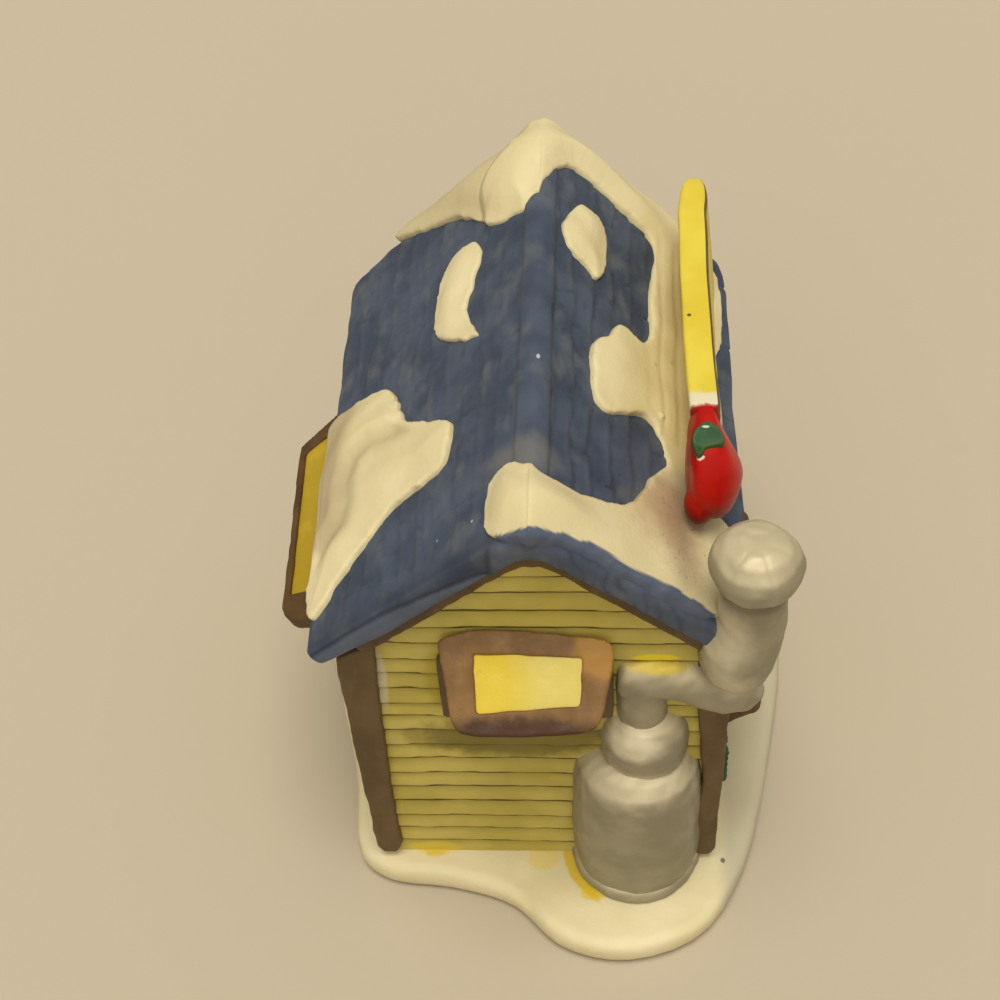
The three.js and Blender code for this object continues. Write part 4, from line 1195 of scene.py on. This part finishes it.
# Pairs of radius and height
RING_PROFILE = ((0, 0.0), (9.9, 0.0), (10.1, 0.8), (9.9, 1.7), (9.5, 2.4), (0, 2.5))
DRUM_PROFILE = (
    (0, 1.5), (9.4, 1.6), (9.7, 5), (9.75, 14), (9.6, 22), (9.4, 25.4), (8.8, 27.8), (7.4, 29.6),
    (5.8, 30.5), (0, 30.5),
)
COLLAR_PROFILE = (
    (0, 28.5), (5.6, 29.1), (6.3, 31.3), (6.4, 35), (5.9, 37.6), (4.9, 39.4), (3.6, 40.2), (0, 40.4),
)
PIPE_PROFILE = ((0, 39), (3.65, 39), (3.65, 48), (0, 49.5))
CAP_PROFILE = (
    (0, 72.7), (4.9, 72.8), (5.8, 74.0), (5.95, 75.5), (5.4, 77.3), (4.0, 78.7), (2.2, 79.4), (0, 79.6),
)
FLUE_PATH = (
    (11.8, 0.8, 48.8), (12.6, 0.8, 48.8), (16, 0.8, 48.8), (19.5, 0.8, 48.8), (22.0, 0.6, 48.2),
    (24.4, 0.1, 46.9), (26.6, -0.4, 46.4), (28.8, -0.6, 47.0), (30.6, -0.7, 48.4),
)
FLUE_RADII = (2.7, 3.5, 3.75, 3.75, 3.75, 3.7, 3.6, 3.3, 2.2)
STACK_PATH = (
    (29.2, -1.0, 73.5), (29.2, -1.0, 68), (29.2, -1.0, 64.5), (28.8, -1.0, 61.5), (28.0, -1.2, 58.5),
    (27.7, -1.2, 55.5), (28.0, -1.2, 52.9), (28.3, -1.2, 51.8),
)
STACK_RADII = (4.3, 4.3, 4.5, 4.8, 5.2, 5.2, 4.4, 3.0)


def behind_wall(points):
    """The back of a half-round piece pushed flat just inside the front boards"""
    points[:, 1] = np.minimum(points[:, 1], 0.3)
    return points


def seamed(points):
    """Faint seams that run down the cap from its middle"""
    offset = points[:, :2] - np.array(STACK_CENTRE)
    far = np.linalg.norm(offset, axis=1)
    angle = np.arctan2(offset[:, 1], offset[:, 0])
    seam = np.zeros(len(points))
    for turn in (-2.3, -1.25, -0.3, 0.9, 2.2):
        seam += bell(np.sin(angle - turn) * far, 0.35) * (np.cos(angle - turn) > 0)
    points[:, 2] -= 0.08 * seam * ease(far, 0.8, 2.2)
    return points


def make_stove(paint):
    """Round stove, its bent pipe and the chimney that stands beside the eave"""
    pipe = [turned(PIPE_CENTRE, PIPE_PROFILE), bent_pipe(FLUE_PATH, FLUE_RADII)]
    for name, nodes, solids, rounds, shape in (
        ("stove_foot_ring", ["stove_foot_ring"], [turned(STOVE_CENTRE, RING_PROFILE)], 6, behind_wall),
        ("stove_drum", ["stove_drum"], [turned(STOVE_CENTRE, DRUM_PROFILE)], 8, behind_wall),
        ("stove_collar", ["stove_collar"], [turned(COLLAR_CENTRE, COLLAR_PROFILE)], 8, behind_wall),
        ("stove_pipe", ["stove_pipe", "stove_elbow", "stove_flue"], pipe, 10, behind_wall),
        ("chimney_stack", ["chimney_stack"], [bent_pipe(STACK_PATH, STACK_RADII)], 8, None),
        ("chimney_cap", ["chimney_cap"], [turned(STACK_CENTRE, CAP_PROFILE, 60)], 8, seamed),
    ):
        seed = 376 + len(name)
        clay_piece(f"clay_{name}", nodes, solids, 0.27, rounds, 0.13, paint, seed, 0.1, shape)


# Everything put together

LEFT_EDGES = (
    ((0, -25.9), (4, -25.9), (20, -26.2), (34, -26.5), (60, -26.7)),
    ((0, -22.0), (4, -22.0), (20, -22.1), (34, -21.9), (46, -21.5), (60, -20.9)),
)
RIGHT_EDGES = (
    ((0, 23.3), (6, 23.3), (16, 23.8), (24, 24.3), (35, 23.5), (44, 22.7), (60, 22.4)),
    ((0, 27.0), (12, 27.0), (27, 27.3), (60, 27.4)),
)
# Rubbed and dark spots, slops and bare clay, and a painted shadow under the front shutter: centre, radii,
# colour and strength
FRAME_WEAR = (
    ((9.5, -3, 58.5), (3.2, 4, 3.2), (0.40, 0.20, 0.03), 0.8),
    ((-8.8, -8, 53), (1.2, 9, 6), (0.30, 0.17, 0.03), 0.25),
    ((-1, -12.4, 51.8), (12, 2.9, 3.0), (0.060, 0.023, 0.005), 1.0),
)
BOARD_WEAR_AND_SHADOW = (
    ((16.9, -0.3, 53.7), (3.0, 3, 0.7), (0.80, 0.62, 0.02), 1.0),
    ((-21.2, 0, 48), (1.0, 3, 7), (0.60, 0.54, 0.38), 0.7),
    ((-12.8, 0, 48), (2.2, 3, 7), (0.40, 0.30, 0.01), 0.6),
    ((-17, 0, 1.2), (4, 3, 1.5), (0.72, 0.54, 0.05), 0.7),
    # Painted shadow of the front shutter on the boards below it
    ((-3, 0, 33.5), (15, 3, 5.0), (0.15, 0.115, 0.017), 0.8),
)

snow = snow_paint()
posts = timber_paint("post_paint", (0.098, 0.058, 0.020), (0.136, 0.085, 0.031))
trim = timber_paint("trim_paint", (0.075, 0.045, 0.019), (0.115, 0.074, 0.034))
frames = timber_paint("frame_paint", (0.165, 0.080, 0.020), (0.235, 0.122, 0.033), FRAME_WEAR)
# A darker copy of the frame paint, as painted shade on the left shutter and the counter, which lie in shade
shaded_frames = timber_paint("shaded_frame_paint", (0.072, 0.035, 0.009), (0.112, 0.058, 0.016))
front_boards = board_paint("front_board_paint", BOARD_WEAR_AND_SHADOW)
other_boards = board_paint("other_board_paint")
front_pane = pane_paint("front_pane_paint", (0.66, 0.487, 0.010), (0.64, 0.52, 0.106), ("X", -4, 2.5))
# The left pane is a darker copy of the pane paint, as painted shade on the left side
left_pane = pane_paint("left_pane_paint", (0.40, 0.265, 0.005), (0.43, 0.29, 0.008), ("Y", 10, 40))
right_pane = pane_paint("right_pane_paint", (0.66, 0.46, 0.02), (0.70, 0.52, 0.06), ("Y", 10, 40))

make_ground(ground_paint())
make_wall("wall_front", 1, -1, 0, 101, front_boards)
make_wall("wall_back", 1, 1, HOUSE_DEPTH, 111, other_boards)
make_wall("wall_left", 0, -1, HALF_WIDTH, 121, other_boards)
make_wall("wall_right", 0, 1, HALF_WIDTH, 131, other_boards)
for side, edges, seed in (("left", LEFT_EDGES, 141), ("right", RIGHT_EDGES, 145)):
    make_post(f"post_front_{side}", *edges, posts, seed)
    make_post(f"post_back_{side}", *edges, posts, seed + 2)

make_roof(shingle_paint())
make_bargeboards("front", -2.2, 0.2, trim, 251)
make_bargeboards("back", HOUSE_DEPTH - 0.2, HOUSE_DEPTH + 2.2, trim, 255)

main_nodes = ["back_left", "back_right", "strip_right", "front_right", "front_left"]
main_plates = ((LEFT, BACK_LEFT, 0.9), (LEFT, FRONT_LEFT, 0.9), (RIGHT, MAIN_RIGHT, 0.9))
make_snow("main", main_nodes, main_plates, main_snow_shape, snow, 411, 16)
make_snow("drift", ["drift_left"], ((LEFT, DRIFT_LEFT, 0.9),), drift_shape, snow, 421)
for name, node, side, outline, depth, height, seed in (
    ("crescent", "crescent", LEFT, CRESCENT, 0.7, 0.4, 431),
    ("spot", "spot_right", RIGHT, SPOT_RIGHT, 0.8, 0.7, 441),
    ("sign_foot", "sign_foot", RIGHT, BESIDE_SIGN, 0.8, 0.3, 451),
):
    shape = small_snow_shape(outline, height)
    make_snow(name, [node], ((side, outline, depth),), shape, snow, seed, 6)

make_sign(sign_paint())
make_apple(apple_paint())
make_leaf(leaf_paint())
make_wreath(wreath_paint())
make_stove(iron_paint())

make_shutter(
    "front", FRONT_FLAP, FRONT_GLASS, (0, -2.07, 59.2), (1, 0, 0), (0, -1, 0), 32, frames, front_pane, 321
)
make_shutter(
    "left", LEFT_FLAP, LEFT_GLASS, (-26.98, 0, 53.2), (0, 1, 0), (-1, 0, 0), 24, shaded_frames, left_pane, 331
)
# The window frames take the dark trim paint, partly their own brown and partly painted shade behind the
# flaps
for number, label in enumerate(("front", "left", "right")):
    hand_made(f"window_frame_{label}", 0.24, 4, 0.05, trim, 301 + 4 * number)
hand_made("counter_frame", 0.26, 7, 0.09, shaded_frames, 313)
for name, paint, seed in (
    ("window_pane_front", front_pane, 341),
    ("window_pane_left", left_pane, 345),
    ("window_pane_right", right_pane, 349),
    ("counter_pane", right_pane, 353),
):
    hand_made(name, 0.24, 3, 0.04, paint, seed, 0.03)


# Floor, light and camera

# From the house's origin, in metres, and in degrees about X, Y and Z
CAMERA_PLACE = (0.0112994, -0.1440134, 0.2599703)
CAMERA_TURN = (39.781668, 2.735209, 2.2498)


def make_floor():
    """Plain pale floor"""
    paint = Paint("floor_paint", (0.52, 0.45, 0.33), specular=0.1)
    paint.surface.inputs["Base Color"].default_value = (*paint.colour, 1)
    paint.surface.inputs["Roughness"].default_value = 0.9
    bpy.ops.mesh.primitive_plane_add(size=4, location=(0, 0, 0))
    floor = bpy.context.object
    floor.name = "floor"
    floor.data.materials.append(paint.material)


def make_light():
    """Broad soft light from the upper left, with an even surround"""
    world = bpy.data.worlds.new("surround")
    world.use_nodes = True
    background = world.node_tree.nodes["Background"].inputs
    background["Color"].default_value = (1.0, 0.96, 0.90, 1)
    background["Strength"].default_value = 0.42
    bpy.context.scene.world = world
    for name, strength, spread, direction in (
        ("key", 2.05, 30, (-0.02, 0.14, -1.0)),
        ("fill", 0.55, 60, (0.1, 1.0, -0.75)),
    ):
        lamp = bpy.data.lights.new(name, "SUN")
        lamp.energy = strength
        lamp.color = (1.0, 0.95, 0.86)
        lamp.angle = math.radians(spread)
        holder = bpy.data.objects.new(name, lamp)
        holder.rotation_euler = Vector(direction).to_track_quat("-Z", "Y").to_euler()
        bpy.context.scene.collection.objects.link(holder)


def make_camera():
    """Camera above and in front of the stand, looking steeply down"""
    camera = bpy.data.cameras.new("camera")
    camera.lens = 66.38
    camera.sensor_width = 36
    camera.clip_start = 0.01
    holder = bpy.data.objects.new("camera", camera)
    holder.location = HOUSE + CAMERA_PLACE
    holder.rotation_euler = [math.radians(angle) for angle in CAMERA_TURN]
    bpy.context.scene.collection.objects.link(holder)
    bpy.context.scene.camera = holder


make_floor()
make_light()
make_camera()
bpy.context.scene.view_settings.view_transform = "Standard"

bpy.context.view_layer.update()
